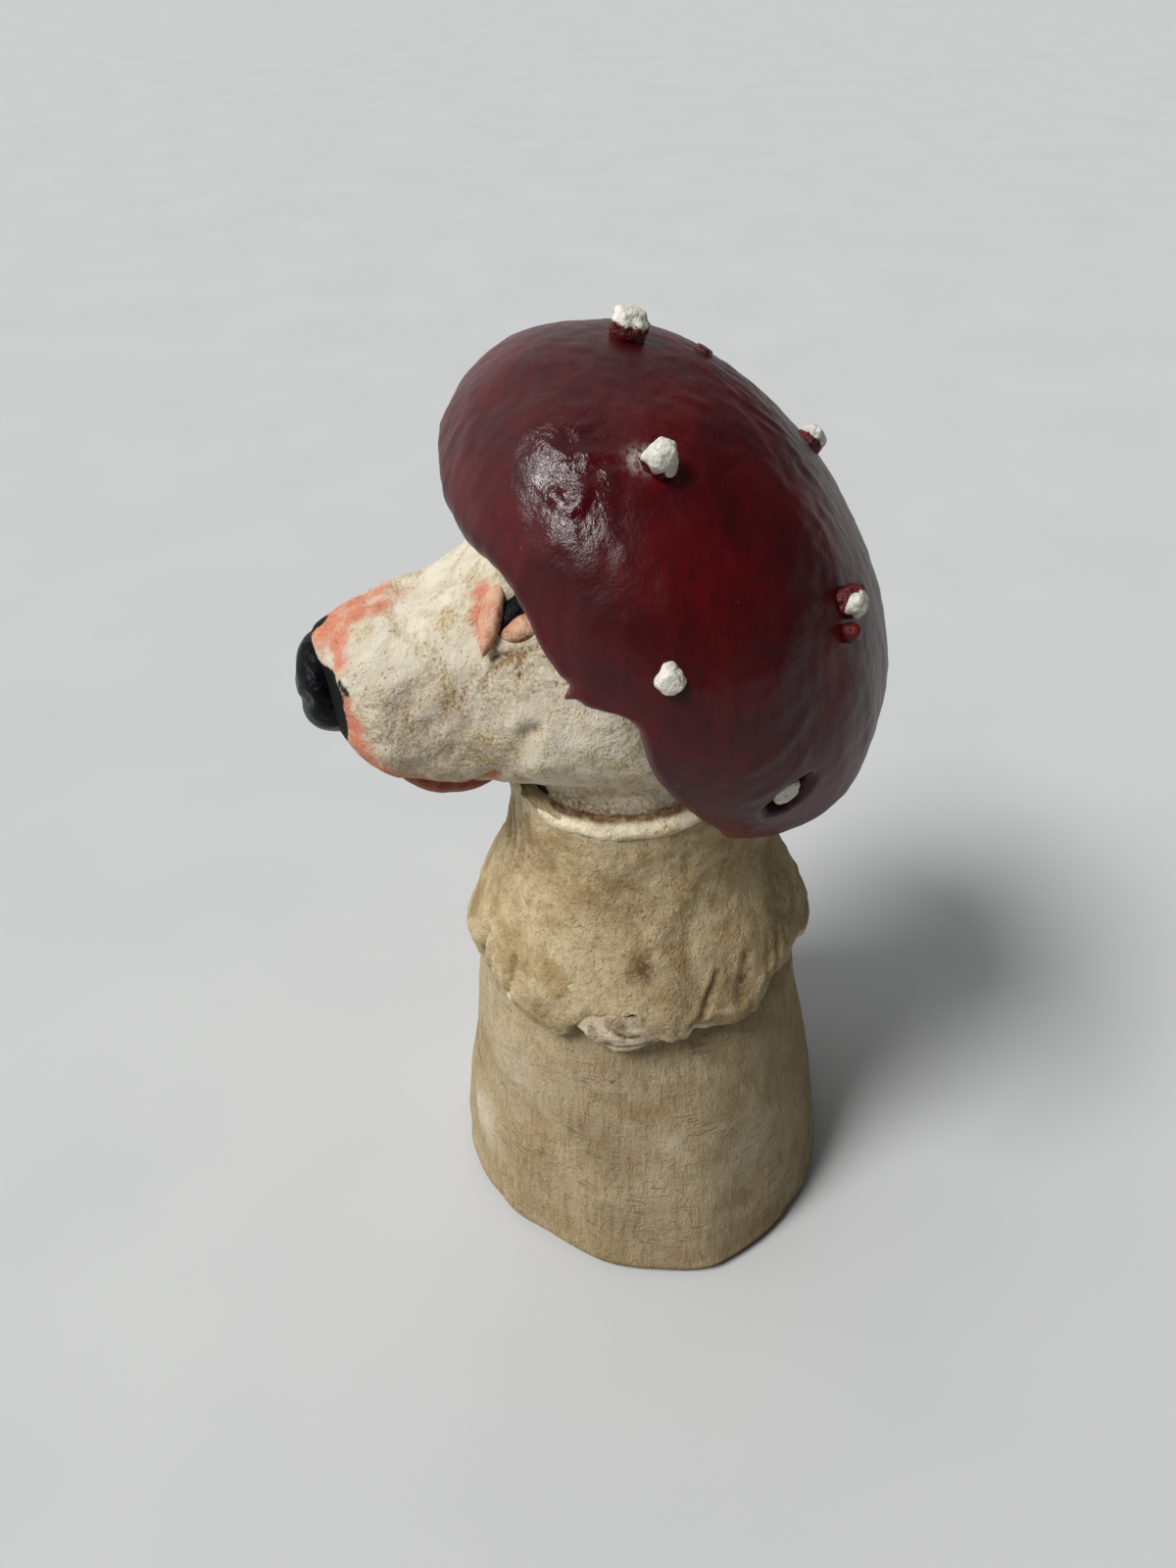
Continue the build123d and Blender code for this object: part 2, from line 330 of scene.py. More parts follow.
class Finish:
    """A material under making: one shader, fed by nodes."""

    def __init__(self, name, shine):
        self.material = bpy.data.materials.new(name)
        self.material.use_nodes = True
        self.tree = self.material.node_tree
        self.shader = self.tree.nodes["Principled BSDF"]
        self.shader.inputs["Specular IOR Level"].default_value = shine
        self.place = self.node("ShaderNodeTexCoord", output="Object")

    def node(self, kind, settings=None, values=None, output=0):
        return add_node(self.tree, kind, settings, values, output)

    def stretched(self, x, y, z, turn=(0.0, 0.0, 0.0)):
        """Object coordinates scaled to a cell of x, y, z millimetres, after a turn."""
        values = {"Vector": self.place, "Rotation": turn}
        turned = self.node("ShaderNodeMapping", {"vector_type": "POINT"}, values)
        scale = (1 / (x * MM), 1 / (y * MM), 1 / (z * MM))
        return self.node("ShaderNodeVectorMath", {"operation": "MULTIPLY"}, {0: turned, 1: scale})

    def noise(self, where, detail=2.0, rough=0.5, warp=0.0):
        values = {"Vector": where, "Scale": 1.0, "Detail": detail, "Roughness": rough, "Distortion": warp}
        return self.node("ShaderNodeTexNoise", {"noise_dimensions": "3D"}, values)

    def grain(self, cell, detail=2.0, rough=0.5, warp=0.0):
        return self.noise(self.stretched(cell, cell, cell), detail, rough, warp)

    def layer(self, name):
        return self.node("ShaderNodeAttribute", {"attribute_name": name}, output="Fac")

    def mix(self, share, first, second):
        """The first colour where share is 0, the second where it is 1."""
        return self.node("ShaderNodeMix", {"data_type": "RGBA"}, {0: share, 6: first, 7: second}, 2)

    def done(self, colour, rough, height=None, depth=0.2, strength=1.0):
        """Feeds the shader; depth is how deep the height's relief goes, in millimetres."""
        plug(self.tree, self.shader.inputs["Base Color"], colour)
        plug(self.tree, self.shader.inputs["Roughness"], rough)
        if height is not None:
            values = {"Height": height, "Distance": depth * MM, "Strength": strength}
            plug(self.tree, self.shader.inputs["Normal"], self.node("ShaderNodeBump", None, values))
        return self.material


def ink(red, green, blue):
    """A colour given as it looks on screen, 0 to 255."""
    levels = [c / 255 for c in (red, green, blue)]
    return tuple(c / 12.92 if c <= 0.04045 else ((c + 0.055) / 1.055) ** 2.4 for c in levels) + (1.0,)


def cap_red():
    """Dark red brushed on thickly over clay, half gloss, with strokes that run down the sides."""
    f = Finish("cap_red", shine=0.3)
    brush = f.noise(f.stretched(1.5, 1.5, 12), 3, 0.62, 0.6)
    fine = f.noise(f.stretched(0.5, 0.5, 3.5), 2, 0.6, 0.6)
    blotch = f.grain(13, 3, 0.55, 0.5)
    peel = f.grain(0.9, 3, 0.65)
    wrinkle = f.grain(2.2, 4, 0.7, 1.4)
    deep = f.mix(blotch.above(0.35, 0.7), ink(60, 2, 7), ink(82, 4, 10))
    streaked = f.mix(brush.above(0.48, 0.72) * 0.5, deep, ink(40, 2, 6))
    dust = f.grain(1.7, 2, 0.7).above(0.735, 0.77)
    colour = f.mix(dust * 0.35, streaked, ink(150, 104, 98))
    colour = f.mix(f.layer("smear") * f.grain(1.2, 3, 0.65).above(0.35, 0.6), colour, ink(206, 198, 188))
    # Painted shade: dark inside the pit that the left nape's wart lies in
    colour = f.mix(f.layer("wear_and_pit_shade"), colour, ink(22, 6, 8))
    rough = 0.36 + brush * 0.1 - f.layer("wrinkled") * 0.23
    height = brush * 0.3 + fine * 0.2 + peel * 0.5 + wrinkle * f.layer("wrinkled") * 1.2
    return f.done(colour, rough, height, 0.17, 0.8)


def clay_colour(f, pale, dark, cell):
    """Pale clay over a darker body that shows through in patches and in the grain."""
    patch = f.grain(cell, 4, 0.62, 0.6)
    sand = f.grain(0.6, 4, 0.75)
    grains = sand.above(0.46, 0.66) * (0.15 + patch.above(0.36, 0.66) * 0.6)
    return f.mix((patch.above(0.4, 0.72) * 0.35 + grains).clamped(), pale, dark)


def gritty(f, mid):
    """The height of hand-worked clay: sand, pores and scuffs."""
    sand = f.grain(0.55, 4, 0.75)
    scuff = f.grain(2.4, 4, 0.68, 0.6)
    pore = f.grain(1.1, 3, 0.7, 0.4).above(0.3, 0.48)
    return sand * 0.55 + scuff * mid + pore * 0.3


def face_slip():
    """Off-white slip dragged over sandy clay, brown wash in its recesses, painted shade on the muzzle's
    lower sides and over the neck, pink and black brushed on.
    """
    f = Finish("face_slip", shine=0.2)
    sand = f.grain(0.7, 3, 0.72)
    zone = f.grain(7, 5, 0.68, 0.6).above(0.44, 0.66)
    drag = f.noise(f.stretched(1.2, 6, 1.6, (0.5, 0, 0)), 3, 0.62, 0.5)
    smooth = f.mix(f.grain(5, 3, 0.6).above(0.35, 0.65), ink(203, 192, 169), ink(214, 205, 186))
    sandy = f.mix(sand.above(0.4, 0.66), ink(202, 188, 158), ink(170, 143, 98))
    colour = f.mix(zone * (1 - drag.above(0.5, 0.66) * 0.8), smooth, sandy)
    speck = f.grain(1.0, 2, 0.6).above(0.66, 0.72)
    colour = f.mix(speck * 0.4, colour, ink(150, 121, 80))
    # The wash layer holds brown wash, and also painted shade on the muzzle's lower sides and over the
    # neck
    wash = (f.layer("wash") * (0.25 + sand.above(0.35, 0.65) * 1.1)).clamped()
    colour = f.mix(wash * 0.88, colour, ink(128, 97, 58))
    rubbed = (f.layer("blush") * 1.1 + (f.grain(1.8, 4, 0.7, 0.4) - 0.5) * 0.9).above(0.12, 0.95)
    pink = f.mix(sand.above(0.4, 0.7) * 0.6, ink(202, 132, 104), ink(182, 106, 80))
    colour = f.mix(rubbed, colour, pink)
    black = (f.layer("soot") + (f.grain(1.2, 4, 0.7) - 0.5) * 0.6).above(0.35, 0.62)
    colour = f.mix(black, colour, ink(11, 10, 11))
    height = sand * (0.2 + zone * 0.4) + f.grain(2.6, 4, 0.62, 0.3) * 0.8 - speck * 0.25
    return f.done(colour, 0.8 - sand * 0.1, height, 0.8, 1.0)


def stem_wash():
    """Thin brown wash wiped down a pale clay wall with a stiff brush, and painted shade under the skirt's
    hem.
    """
    f = Finish("stem_wash", shine=0.2)
    streak = f.noise(f.stretched(1.2, 1.2, 16), 4, 0.68, 0.5)
    scratch = f.noise(f.stretched(0.45, 0.45, 11), 3, 0.65, 0.3)
    cross = f.noise(f.stretched(4.5, 4.5, 0.5), 3, 0.62, 0.4)
    patch = f.grain(15, 4, 0.62, 0.7)
    mark = f.grain(9, 3, 0.6, 0.5).above(0.46, 0.62)
    tan = f.mix(patch.above(0.36, 0.66), ink(184, 167, 134), ink(164, 143, 106))
    colour = f.mix(streak.above(0.44, 0.68) * 0.5, tan, ink(138, 114, 75))
    colour = f.mix(scratch.above(0.55, 0.7) * 0.6, colour, ink(196, 181, 150))
    colour = f.mix((1 - scratch.above(0.28, 0.42)) * 0.45, colour, ink(118, 94, 60))
    colour = f.mix(cross.above(0.57, 0.68) * mark * 0.5, colour, ink(114, 91, 57))
    # The wash layer also carries painted shade under the skirt's hem
    colour = f.mix((f.layer("wash") * (0.35 + streak * 1.1)).clamped(), colour, ink(108, 84, 52))
    scraped = streak.above(0.3, 0.62) * 0.7 + f.grain(2.4, 4, 0.68).above(0.36, 0.64) * 0.6
    colour = f.mix((f.layer("bare") * scraped).clamped(), colour, ink(210, 200, 176))
    height = streak * 0.5 + scratch * 0.35 - cross.above(0.55, 0.68) * mark * 0.5 + gritty(f, 0.5)
    return f.done(colour, 0.82, height, 0.55, 0.9)


def skirt_wash():
    """Mottled brown wash on a pinched strip of clay, wiped pale along its torn edge."""
    f = Finish("skirt_wash", shine=0.2)
    mottle = f.grain(6.5, 5, 0.7, 0.4)
    freckle = f.grain(1.5, 4, 0.72, 0.3)
    crumb = f.grain(0.7, 3, 0.72)
    broad = f.grain(14, 3, 0.6, 0.4)
    comb = f.noise(f.stretched(1.2, 1.2, 9), 3, 0.65, 0.4)
    tan = f.mix(mottle.above(0.4, 0.64), ink(196, 178, 141), ink(168, 143, 101))
    tan = f.mix(broad.above(0.48, 0.7) * 0.45, tan, ink(152, 126, 84))
    colour = f.mix(freckle.above(0.52, 0.72) * 0.5, tan, ink(134, 106, 67))
    colour = f.mix(comb.above(0.54, 0.74) * 0.35, colour, ink(140, 113, 74))
    colour = f.mix(crumb.above(0.56, 0.72) * 0.45, colour, ink(216, 202, 170))
    stain = (f.layer("wash") * (0.3 + freckle.above(0.3, 0.62) * 0.9)).clamped()
    colour = f.mix(stain, colour, ink(108, 82, 50))
    bare = (f.layer("bare") + (f.grain(1.6, 4, 0.68) - 0.5) * 0.7 * f.layer("bare")).above(0.25, 0.6)
    colour = f.mix(bare * 0.9, colour, ink(220, 209, 181))
    height = mottle * 0.3 + freckle * 0.4 + comb * 0.2 + gritty(f, 0.6)
    return f.done(colour, 0.82, height, 0.7, 0.9)


def pale_clay():
    """Pale clay left almost bare, with wash in its seams; on the neck's coil the same layer also carries
    painted shade.
    """
    f = Finish("pale_clay", shine=0.2)
    base = clay_colour(f, ink(234, 222, 193), ink(190, 165, 120), 4)
    colour = f.mix((f.layer("wash") * (0.45 + f.grain(1.4, 3, 0.65))).clamped(), base, ink(104, 76, 48))
    return f.done(colour, 0.82, gritty(f, 0.7), 0.6, 0.9)


def bare_clay():
    """Unpainted clay, out of sight."""
    f = Finish("bare_clay", shine=0.2)
    colour = clay_colour(f, ink(206, 192, 168), ink(176, 156, 126), 9)
    return f.done(colour, 0.86, gritty(f, 0.4), 0.4, 0.8)


def lip_pink():
    """Red-brown brushed into the mouth, rubbed pink where it stands out."""
    f = Finish("lip_pink", shine=0.25)
    patch = f.grain(3.2, 4, 0.65, 0.5)
    colour = f.mix(patch.above(0.35, 0.7), ink(198, 134, 108), ink(176, 104, 80))
    colour = f.mix((f.layer("wash") * (0.5 + f.grain(1.6, 3, 0.6))).clamped(), colour, ink(86, 44, 34))
    return f.done(colour, 0.72, gritty(f, 0.6), 0.5, 0.9)


def lid_pink():
    """Pink rubbed over the slip on the lids, darkened brown along their edges as painted shade."""
    f = Finish("lid_pink", shine=0.2)
    patch = f.grain(2.2, 4, 0.7, 0.4)
    sand = f.grain(0.6, 3, 0.72)
    colour = f.mix(patch.above(0.34, 0.62), ink(204, 138, 110), ink(212, 172, 143))
    colour = f.mix(sand.above(0.5, 0.72) * 0.5, colour, ink(172, 108, 80))
    # Painted shade in brown along the lids' edges
    colour = f.mix((f.layer("wash") * (0.45 + sand)).clamped(), colour, ink(104, 64, 46))
    return f.done(colour, 0.78, gritty(f, 0.6), 0.6, 0.9)


def black_gloss(name, rough):
    """Black glaze laid on thickly, with brush ridges that break its shine and pink rubbed on its edge."""
    f = Finish(name, shine=0.12)
    smear = f.grain(2.2, 3, 0.65, 0.6)
    colour = f.mix(smear.above(0.4, 0.8), ink(4, 4, 7), ink(10, 10, 14))
    rubbed = (f.layer("rubbed") + (f.grain(1.4, 3, 0.65) - 0.5) * 0.8).above(0.3, 0.75)
    colour = f.mix(rubbed, colour, ink(206, 142, 114))
    height = smear * 0.7 + f.grain(0.8, 3, 0.6) * 0.6
    return f.done(colour, rough + smear * 0.2 + rubbed * 0.4, height, 0.45, 0.9)


def wart_clay():
    """White dabbed over the tip of a dark red peg."""
    f = Finish("wart_clay", shine=0.3)
    red = f.mix(f.grain(2, 3).above(0.35, 0.7), ink(64, 6, 10), ink(98, 12, 16))
    white = f.mix(f.grain(1.2, 4, 0.68).above(0.4, 0.72), ink(226, 223, 210), ink(190, 184, 170))
    share = (f.layer("white") + (f.grain(0.9, 3, 0.6) - 0.5) * 0.5).above(0.42, 0.58)
    height = f.grain(0.6, 3, 0.68) * 0.7 + f.grain(1.6, 3, 0.6) * 0.6
    return f.done(f.mix(share, red, white), 0.36 + share * 0.3, height, 0.55, 0.9)


# Stem

FOOT_ANGLES = (-180, -150, -120, -92, -68, -49, -28, -14, 0, 15, 32, 58, 73, 100, 140, 180)
FOOT_RADII = (
    38.4, 38.0, 38.6, 38.4, 38.0, 38.4, 38.0, 39.5,
    40.4, 42.0, 41.2, 40.2, 39.3, 38.8, 38.2, 38.4,
)
STEM_LINE_Z = (0.0, 30.0, SKIRT_HEM_Z, 74.0, SKIRT_TOP_Z, RIM_Z)
STEM_LINE_R = (FOOT_R, 35.2, WAIST_R, 25.4, NECK_R, NECK_R)
# Radius at which the stem's surface is laid out flat
STEM_FLAT_R = 35.0
STEM_PALE = [
    # degrees round the stem, height, radius, share
    (-66, 20, 7, 0.9),
    (-52, 42, 10, 0.45),
    (34, 29, 8, 0.5),
    (6.5, 36, 4, 0.5),
    (120, 30, 9, 0.5),
    (-140, 26, 10, 0.5),
    (175, 46, 9, 0.5),
]
STEM_STAINS = [
    (-15, 34, 9, 0.3),
    (-8, 15, 8, 0.3),
    (70, 20, 8, 0.3),
    (150, 18, 9, 0.35),
    (-110, 38, 8, 0.3),
]


def unrolled(degrees, height, radius):
    """A turned surface laid out flat: the way round it, the height, and nothing."""
    return np.column_stack([np.radians(degrees) * radius, height, 0 * height])


def spots_on(flat, places, radius):
    """The sum of soft spots at places, each (degrees, height, radius, share)."""
    total = np.zeros(len(flat))
    for degrees, height, size, share in places:
        total += share * ball(flat, (math.radians(degrees) * radius, height, 0), size)
    return total


def stem_radius(height):
    return curve_through(STEM_LINE_Z, STEM_LINE_R, np.asarray(height, float))


def make_stem():
    sweep = np.radians(np.linspace(0, 90, 9))
    foot_r = FOOT_R - 0.2
    foot = [(foot_r - FOOT_ROUND * (1 - math.cos(a)), FOOT_ROUND * (1 - math.sin(a))) for a in sweep]
    side = [(float(stem_radius(z)), z) for z in np.arange(RIM_Z - 0.5, FOOT_ROUND, -0.75)]
    inside = [(FOOT_R - STEM_WALL, 0.0), (WAIST_R - STEM_WALL, SKIRT_HEM_Z), (MOUTH_R, SKIRT_TOP_Z)]
    rim = [(MOUTH_R, RIM_Z), (NECK_R - 1.0, RIM_Z)]
    piece = turned("stem_wall", [*inside, *rim, *side, *foot, inside[0]], 256)
    spots = points_of(piece)
    degrees, height = angle_of(spots), spots[:, 2]
    radius = np.hypot(spots[:, 0], spots[:, 1])
    outer = fade(radius - stem_radius(height), -4.2, -3.0) * (height < RIM_Z - 0.2)
    sway = (curve_through(FOOT_ANGLES, FOOT_RADII, degrees) - FOOT_R) * (1 - fade(height, 2, 62))
    # A thumb's press above the foot, wide dents, and the lower edge rolled on the table
    dents = 0.6 * lumps(spots, 19, 1) + 0.3 * lumps(spots, 8, 2) + 0.12 * lumps(spots, 2.6, 3)
    press = -0.9 * ball(spots, (25, -27, 30), 11) + 0.9 * ball(spots, (14, -35, 22), 9)
    press -= 1.5 * np.exp(-(((degrees - 85) / 38) ** 2) - ((height - 48) / 13) ** 2)
    edge = 0.35 * lumps(spots, 5, 4) * (1 - fade(height, 1, 8))
    room = fade(height, 0.1, 2.0)
    push = outer * (sway + room * (dents + press + edge))
    put_points(piece, spots + outwards(degrees) * push[:, None])
    spots = points_of(piece)
    flat = unrolled(degrees, height, STEM_FLAT_R)
    # Painted shade: a band of the wall under the skirt's hem is darkened
    painted_shade_under_hem = np.exp(-(((height - SKIRT_HEM_Z) / 4.0) ** 2))
    hollow = np.clip(-0.9 * dents, 0, 1) * fade(height, 1, 4)
    rim_stain = 0.5 * (1 - fade(height, 0.5, 5)) * np.clip(0.5 + lumps(spots, 6, 5), 0, 1)
    stains = spots_on(flat, STEM_STAINS, STEM_FLAT_R)
    paint(piece, "wash", 0.5 * painted_shade_under_hem + 0.35 * hollow + rim_stain + stains)
    paint(piece, "bare", spots_on(flat, STEM_PALE, STEM_FLAT_R) + 0.25 * np.clip(dents, 0, 1))
    finish_piece(piece, stem_wash(), "stem_wash", "stem")


# Skirt: a pinched strip of clay wrapped round the neck, torn along its hem

HEM_ANGLES = (
    -180, -165, -148, -130, -112, -95, -84, -76, -70, -63, -53, -43, -35, -28,
    -24, -20, -14, -9, -6, -4.5, -2, 3, 8, 12, 14, 17, 22, 30,
    36, 42, 49, 55, 62, 70, 80, 95, 112, 130, 148, 165, 180,
)
HEM_HEIGHTS = (
    61.5, 60.3, 63, 61, 60.6, 61.6, 61.2, 62, 62.8, 62.8, 60.4, 60.2, 60.4, 60.8,
    62.8, 64.6, 65, 65.6, 66.6, 66.4, 63.8, 62.6, 62.2, 62.6, 63.4, 62.5, 62.4, 61.6,
    62.4, 64.6, 66, 65.8, 65.6, 64, 62, 63.4, 61, 60.5, 63, 61, 61.5,
)
SKIRT_LINE_Z = (57, 60, 63, 66, 70, 75, 80, 84, 88, 93, 100, 106)
SKIRT_LINE_R = (33.9, 33.7, 33.3, 32.4, 30.9, 28.5, 26.1, 24.5, 23.5, 22.95, 22.75, 22.6)
SKIRT_LIP = 3.4
HEM_R = 33.0
# Radius at which the skirt's surface is laid out flat
SKIRT_FLAT_R = 32.0
SKIRT_TEARS = [
    # path in degrees and heights, width, depth
    ([(-10, 64.4), (-7.6, 66.8), (-5.2, 67.6)], 0.5, 1.0),
    ([(-5.2, 67.6), (-4.2, 65.4), (-3.4, 63.4)], 0.5, 1.0),
    ([(-24, 62.6), (-18, 65.6), (-12, 66.4), (-8, 67)], 0.55, 0.8),
    ([(17, 66), (21, 70), (24, 72.5)], 0.7, 0.5),
    ([(30, 66), (33, 70), (36, 74)], 0.9, 0.3),
    ([(39, 64), (44, 70), (47, 74)], 0.7, 0.2),
    ([(46, 66), (51, 72)], 0.7, 0.2),
    ([(53, 66), (58, 73)], 0.7, 0.2),
    ([(-51, 62), (-50, 66), (-50, 70)], 0.9, 0.6),
    ([(-68, 64), (-67, 70)], 0.9, 0.7),
    ([(96, 62), (92, 68), (93, 74)], 0.9, 0.7),
    ([(136, 60), (140, 66), (139, 71)], 0.8, 0.7),
    ([(-160, 60), (-156, 65), (-158, 72)], 0.9, 0.7),
    ([(-120, 60), (-118, 66), (-121, 70)], 0.8, 0.6),
]
SKIRT_STAINS = [
    # degrees, height, radius, share
    (-3.2, 76, 3.4, 1.0),
    (-66, 63.5, 3.6, 0.55),
    (-37, 65, 4.6, 0.5),
    (-81, 70, 4.2, 0.5),
    (55, 76, 7, 0.45),
    (31, 70, 5, 0.4),
    (120, 70, 6, 0.5),
    (160, 66, 5, 0.5),
    (-140, 72, 6, 0.5),
]
SKIRT_FLAKES = [
    (12.7, 62.8, 1.7, 1.0),
    (-6.5, 65.0, 2.0, 0.9),
    (-60, 62.8, 2.2, 0.8),
    (-52, 60.8, 1.8, 0.7),
    (-20, 65.2, 1.6, 0.7),
    (104, 62.6, 2.0, 0.8),
    (170, 62, 2.2, 0.8),
    (-126, 61.4, 2.0, 0.8),
]


def skirt_top(degrees):
    """The skirt's upper edge follows the neck's ridge, and runs up the throat under the muzzle."""
    ridge = curve_through(RIDGE_ANGLES, RIDGE_HEIGHTS, degrees)
    throat = np.exp(-(((degrees + 82) / 24) ** 2))
    return RIM_Z + ridge - 0.6 + 4.2 * throat


def skirt_radius(height):
    return curve_through(SKIRT_LINE_Z, SKIRT_LINE_R, np.asarray(height, float))


def make_skirt():
    low, high = SKIRT_HEM_Z, 100.0
    outer = [(float(skirt_radius(z)), z) for z in np.linspace(high, low + 0.6, 74)]
    sweep = np.radians(np.linspace(20, 180, 14))
    lip_r = SKIRT_LIP / 2
    lip = [(outer[-1][0] - lip_r + lip_r * math.cos(a), low + 0.4 - 1.3 * math.sin(a)) for a in sweep]
    back = [(float(stem_radius(z)) + 0.1, z) for z in np.linspace(low + 3, high, 30)]
    piece = turned("skirt_strip", [*outer, *lip, *back, outer[0]], 432)
    spots = points_of(piece)
    degrees = angle_of(spots)
    hem = curve_through(HEM_ANGLES, HEM_HEIGHTS, degrees)
    ring = outwards(degrees)
    hem += 0.5 * lumps(HEM_R * ring, 2.6, 11) + 0.4 * lumps(HEM_R * ring, 1.2, 12)
    radius = np.hypot(spots[:, 0], spots[:, 1])
    old_stem = stem_radius(spots[:, 2])
    thick = radius - old_stem
    share = (spots[:, 2] - low) / (high - low)
    height = hem + (skirt_top(degrees) - hem) * share
    line = skirt_radius(spots[:, 2])
    full = np.maximum(line - old_stem, 0.3)
    new_line = skirt_radius(height)
    depth = np.clip(thick / full, 0, 1.02)
    radius = stem_radius(height) + depth * np.maximum(new_line - stem_radius(height), 0.35)
    flare = 1 - fade(share, 0.0, 0.75)
    wave = 0.9 * lumps(HEM_R * ring, 12, 13) + 0.5 * np.sin(np.radians(9 * degrees) + 1.0)
    curl = 1.2 * (1 - fade(height - hem, 0.0, 3.6))
    radius += depth * (flare * wave - curl)
    spots = ring * radius[:, None] + np.column_stack([0 * height, 0 * height, height])
    # Throat folds under the muzzle, finger dents, tears and the split above the tab
    flat = unrolled(degrees, height, SKIRT_FLAT_R)
    throat = np.exp(-(((degrees + 76) / 18) ** 2)) * fade(height, 74, 88)
    folds = 0.6 * throat * np.sin(np.radians(degrees) * 44 + 0.05 * height + 1.2 * lumps(spots, 9, 18))
    dents = 0.5 * lumps(spots, 9, 14) + 0.32 * lumps(spots, 4, 15) + 0.18 * lumps(spots, 1.7, 16)
    tears = np.zeros(len(spots))
    for path, width, deep in SKIRT_TEARS:
        laid = [(math.radians(a) * SKIRT_FLAT_R, z, 0) for a, z in path]
        tears += crease(flat, laid, width, deep)
    open_face = fade(depth, 0.4, 0.8)
    spots += ring * (open_face * (folds + dents + tears))[:, None]
    put_points(piece, spots)
    over_hem = height - hem
    wear_and_pit_shade = np.exp(-((over_hem / 1.2) ** 2)) * np.clip(0.25 + 1.1 * lumps(spots, 4, 17), 0, 1)
    flakes = spots_on(flat, SKIRT_FLAKES, SKIRT_FLAT_R)
    top_light = 0.3 * fade(height, 93, 99) + 0.35 * throat
    paint(piece, "bare", wear_and_pit_shade + flakes + top_light + 0.4 * np.clip(dents - 0.35, 0, 1))
    recess = np.clip(-0.8 * dents - 1.4 * tears - 0.6 * folds, 0, 1)
    paint(piece, "wash", spots_on(flat, SKIRT_STAINS, SKIRT_FLAT_R) + 0.7 * recess)
    finish_piece(piece, skirt_wash(), "skirt_wash", "skirt")


TAB_HALF_SIZES = (2.5, 8.2, 4.3)
TAB_PLACE = np.array([31.0, 0, 63.4])
TAB_ANGLE = math.radians(-9.0)


def make_tab():
    """A pale tongue of clay that shows under the split in the skirt."""
    piece = clay_ball("skirt_tongue", 5, TAB_HALF_SIZES)
    spots = points_of(piece)
    spots[:, 1] *= 1 - 0.35 * np.clip(-spots[:, 2] / 3.9, 0, 1)
    spots[:, 0] -= 0.012 * spots[:, 1] ** 2
    fold = crease(spots, [(2.4, -7, -1.2), (2.6, -1, -2.4), (2.4, 5, -1.0)], 0.5, 0.6)
    fold += crease(spots, [(2.4, -2, 2.4), (2.6, 1.5, 0.6), (2.4, 4.5, 1.8)], 0.45, 0.45)
    away = unit(spots)
    spots += away * (fold + 0.32 * lumps(spots, 2.6, 21) + 0.2 * lumps(spots, 1.2, 22))[:, None]
    c, s = math.cos(TAB_ANGLE), math.sin(TAB_ANGLE)
    put_points(piece, (spots + TAB_PLACE) @ np.array([[c, s, 0], [-s, c, 0], [0, 0, 1]]))
    spots = points_of(piece)
    seams = 0.33 + np.clip(-1.6 * fold, 0, 1) + 0.6 * np.clip(lumps(spots, 2.4, 23), 0, 1)
    paint(piece, "wash", 0.25 * fade(spots[:, 2], 65, 67) + seams)
    finish_piece(piece, pale_clay(), "pale_clay", "skirt_seam_tab")


# Neck ridge: the coil of clay that seals the joint, pressed flat under the muzzle

RIDGE_ANGLES = (-180, -150, -120, -90, -67, -44, -29, -16, -4, 7, 22, 40, 60, 90, 120, 150, 180)
RIDGE_HEIGHTS = (
    0.5, -1.2, -2.2, -2.4, -2.0, -1.7, -1.0, -0.4, 0.1,
    1.0, 2.2, 2.8, 3.0, 3.0, 2.6, 1.8, 0.5,
)


def make_coil():
    deselect_all()
    bpy.ops.mesh.primitive_torus_add(
        major_segments=320,
        minor_segments=40,
        major_radius=COIL_RING_R * MM,
        minor_radius=COIL_R * MM,
        location=(0, 0, RIM_Z * MM),
    )
    piece = bpy.context.object
    piece.name = "neck_seal"
    bpy.ops.object.transform_apply(location=True)
    spots = points_of(piece)
    degrees = angle_of(spots)
    ring = outwards(degrees)
    middle = ring * COIL_RING_R + np.array([0, 0, RIM_Z])
    away = (spots - middle) / COIL_R
    throat = fade(-degrees, 44, 66) * fade(degrees, -146, -118)
    fat = COIL_R * (0.95 + 0.2 * lumps(ring * 21, 7, 31)) * (1 - 0.6 * throat)
    fat += 0.3 * lumps(spots, 2.6, 32) + 0.2 * lumps(spots, 1.2, 33)
    ridge = curve_through(RIDGE_ANGLES, RIDGE_HEIGHTS, degrees)
    inward = -0.5 * fade(away[:, 2], 0.0, 1.0) - 1.1 * throat
    spots = middle + away * fat[:, None] + ring * inward[:, None]
    spots[:, 2] += ridge
    put_points(piece, spots)
    pores = np.clip(-1.0 * lumps(spots, 2.6, 32), 0, 1)
    # Brown wash in the pores; the top, in the joint under the head, and the underside are darkened as
    # painted shade
    paint(piece, "wash", 0.4 * pores + fade(away[:, 2], 0.62, 0.98) + 0.4 * fade(-away[:, 2], 0.6, 1.0))
    finish_piece(piece, pale_clay(), "pale_clay", "neck_coil")


# Head: rings along the muzzle, each (y, bottom, top, widest height, half width) over the stem's rim

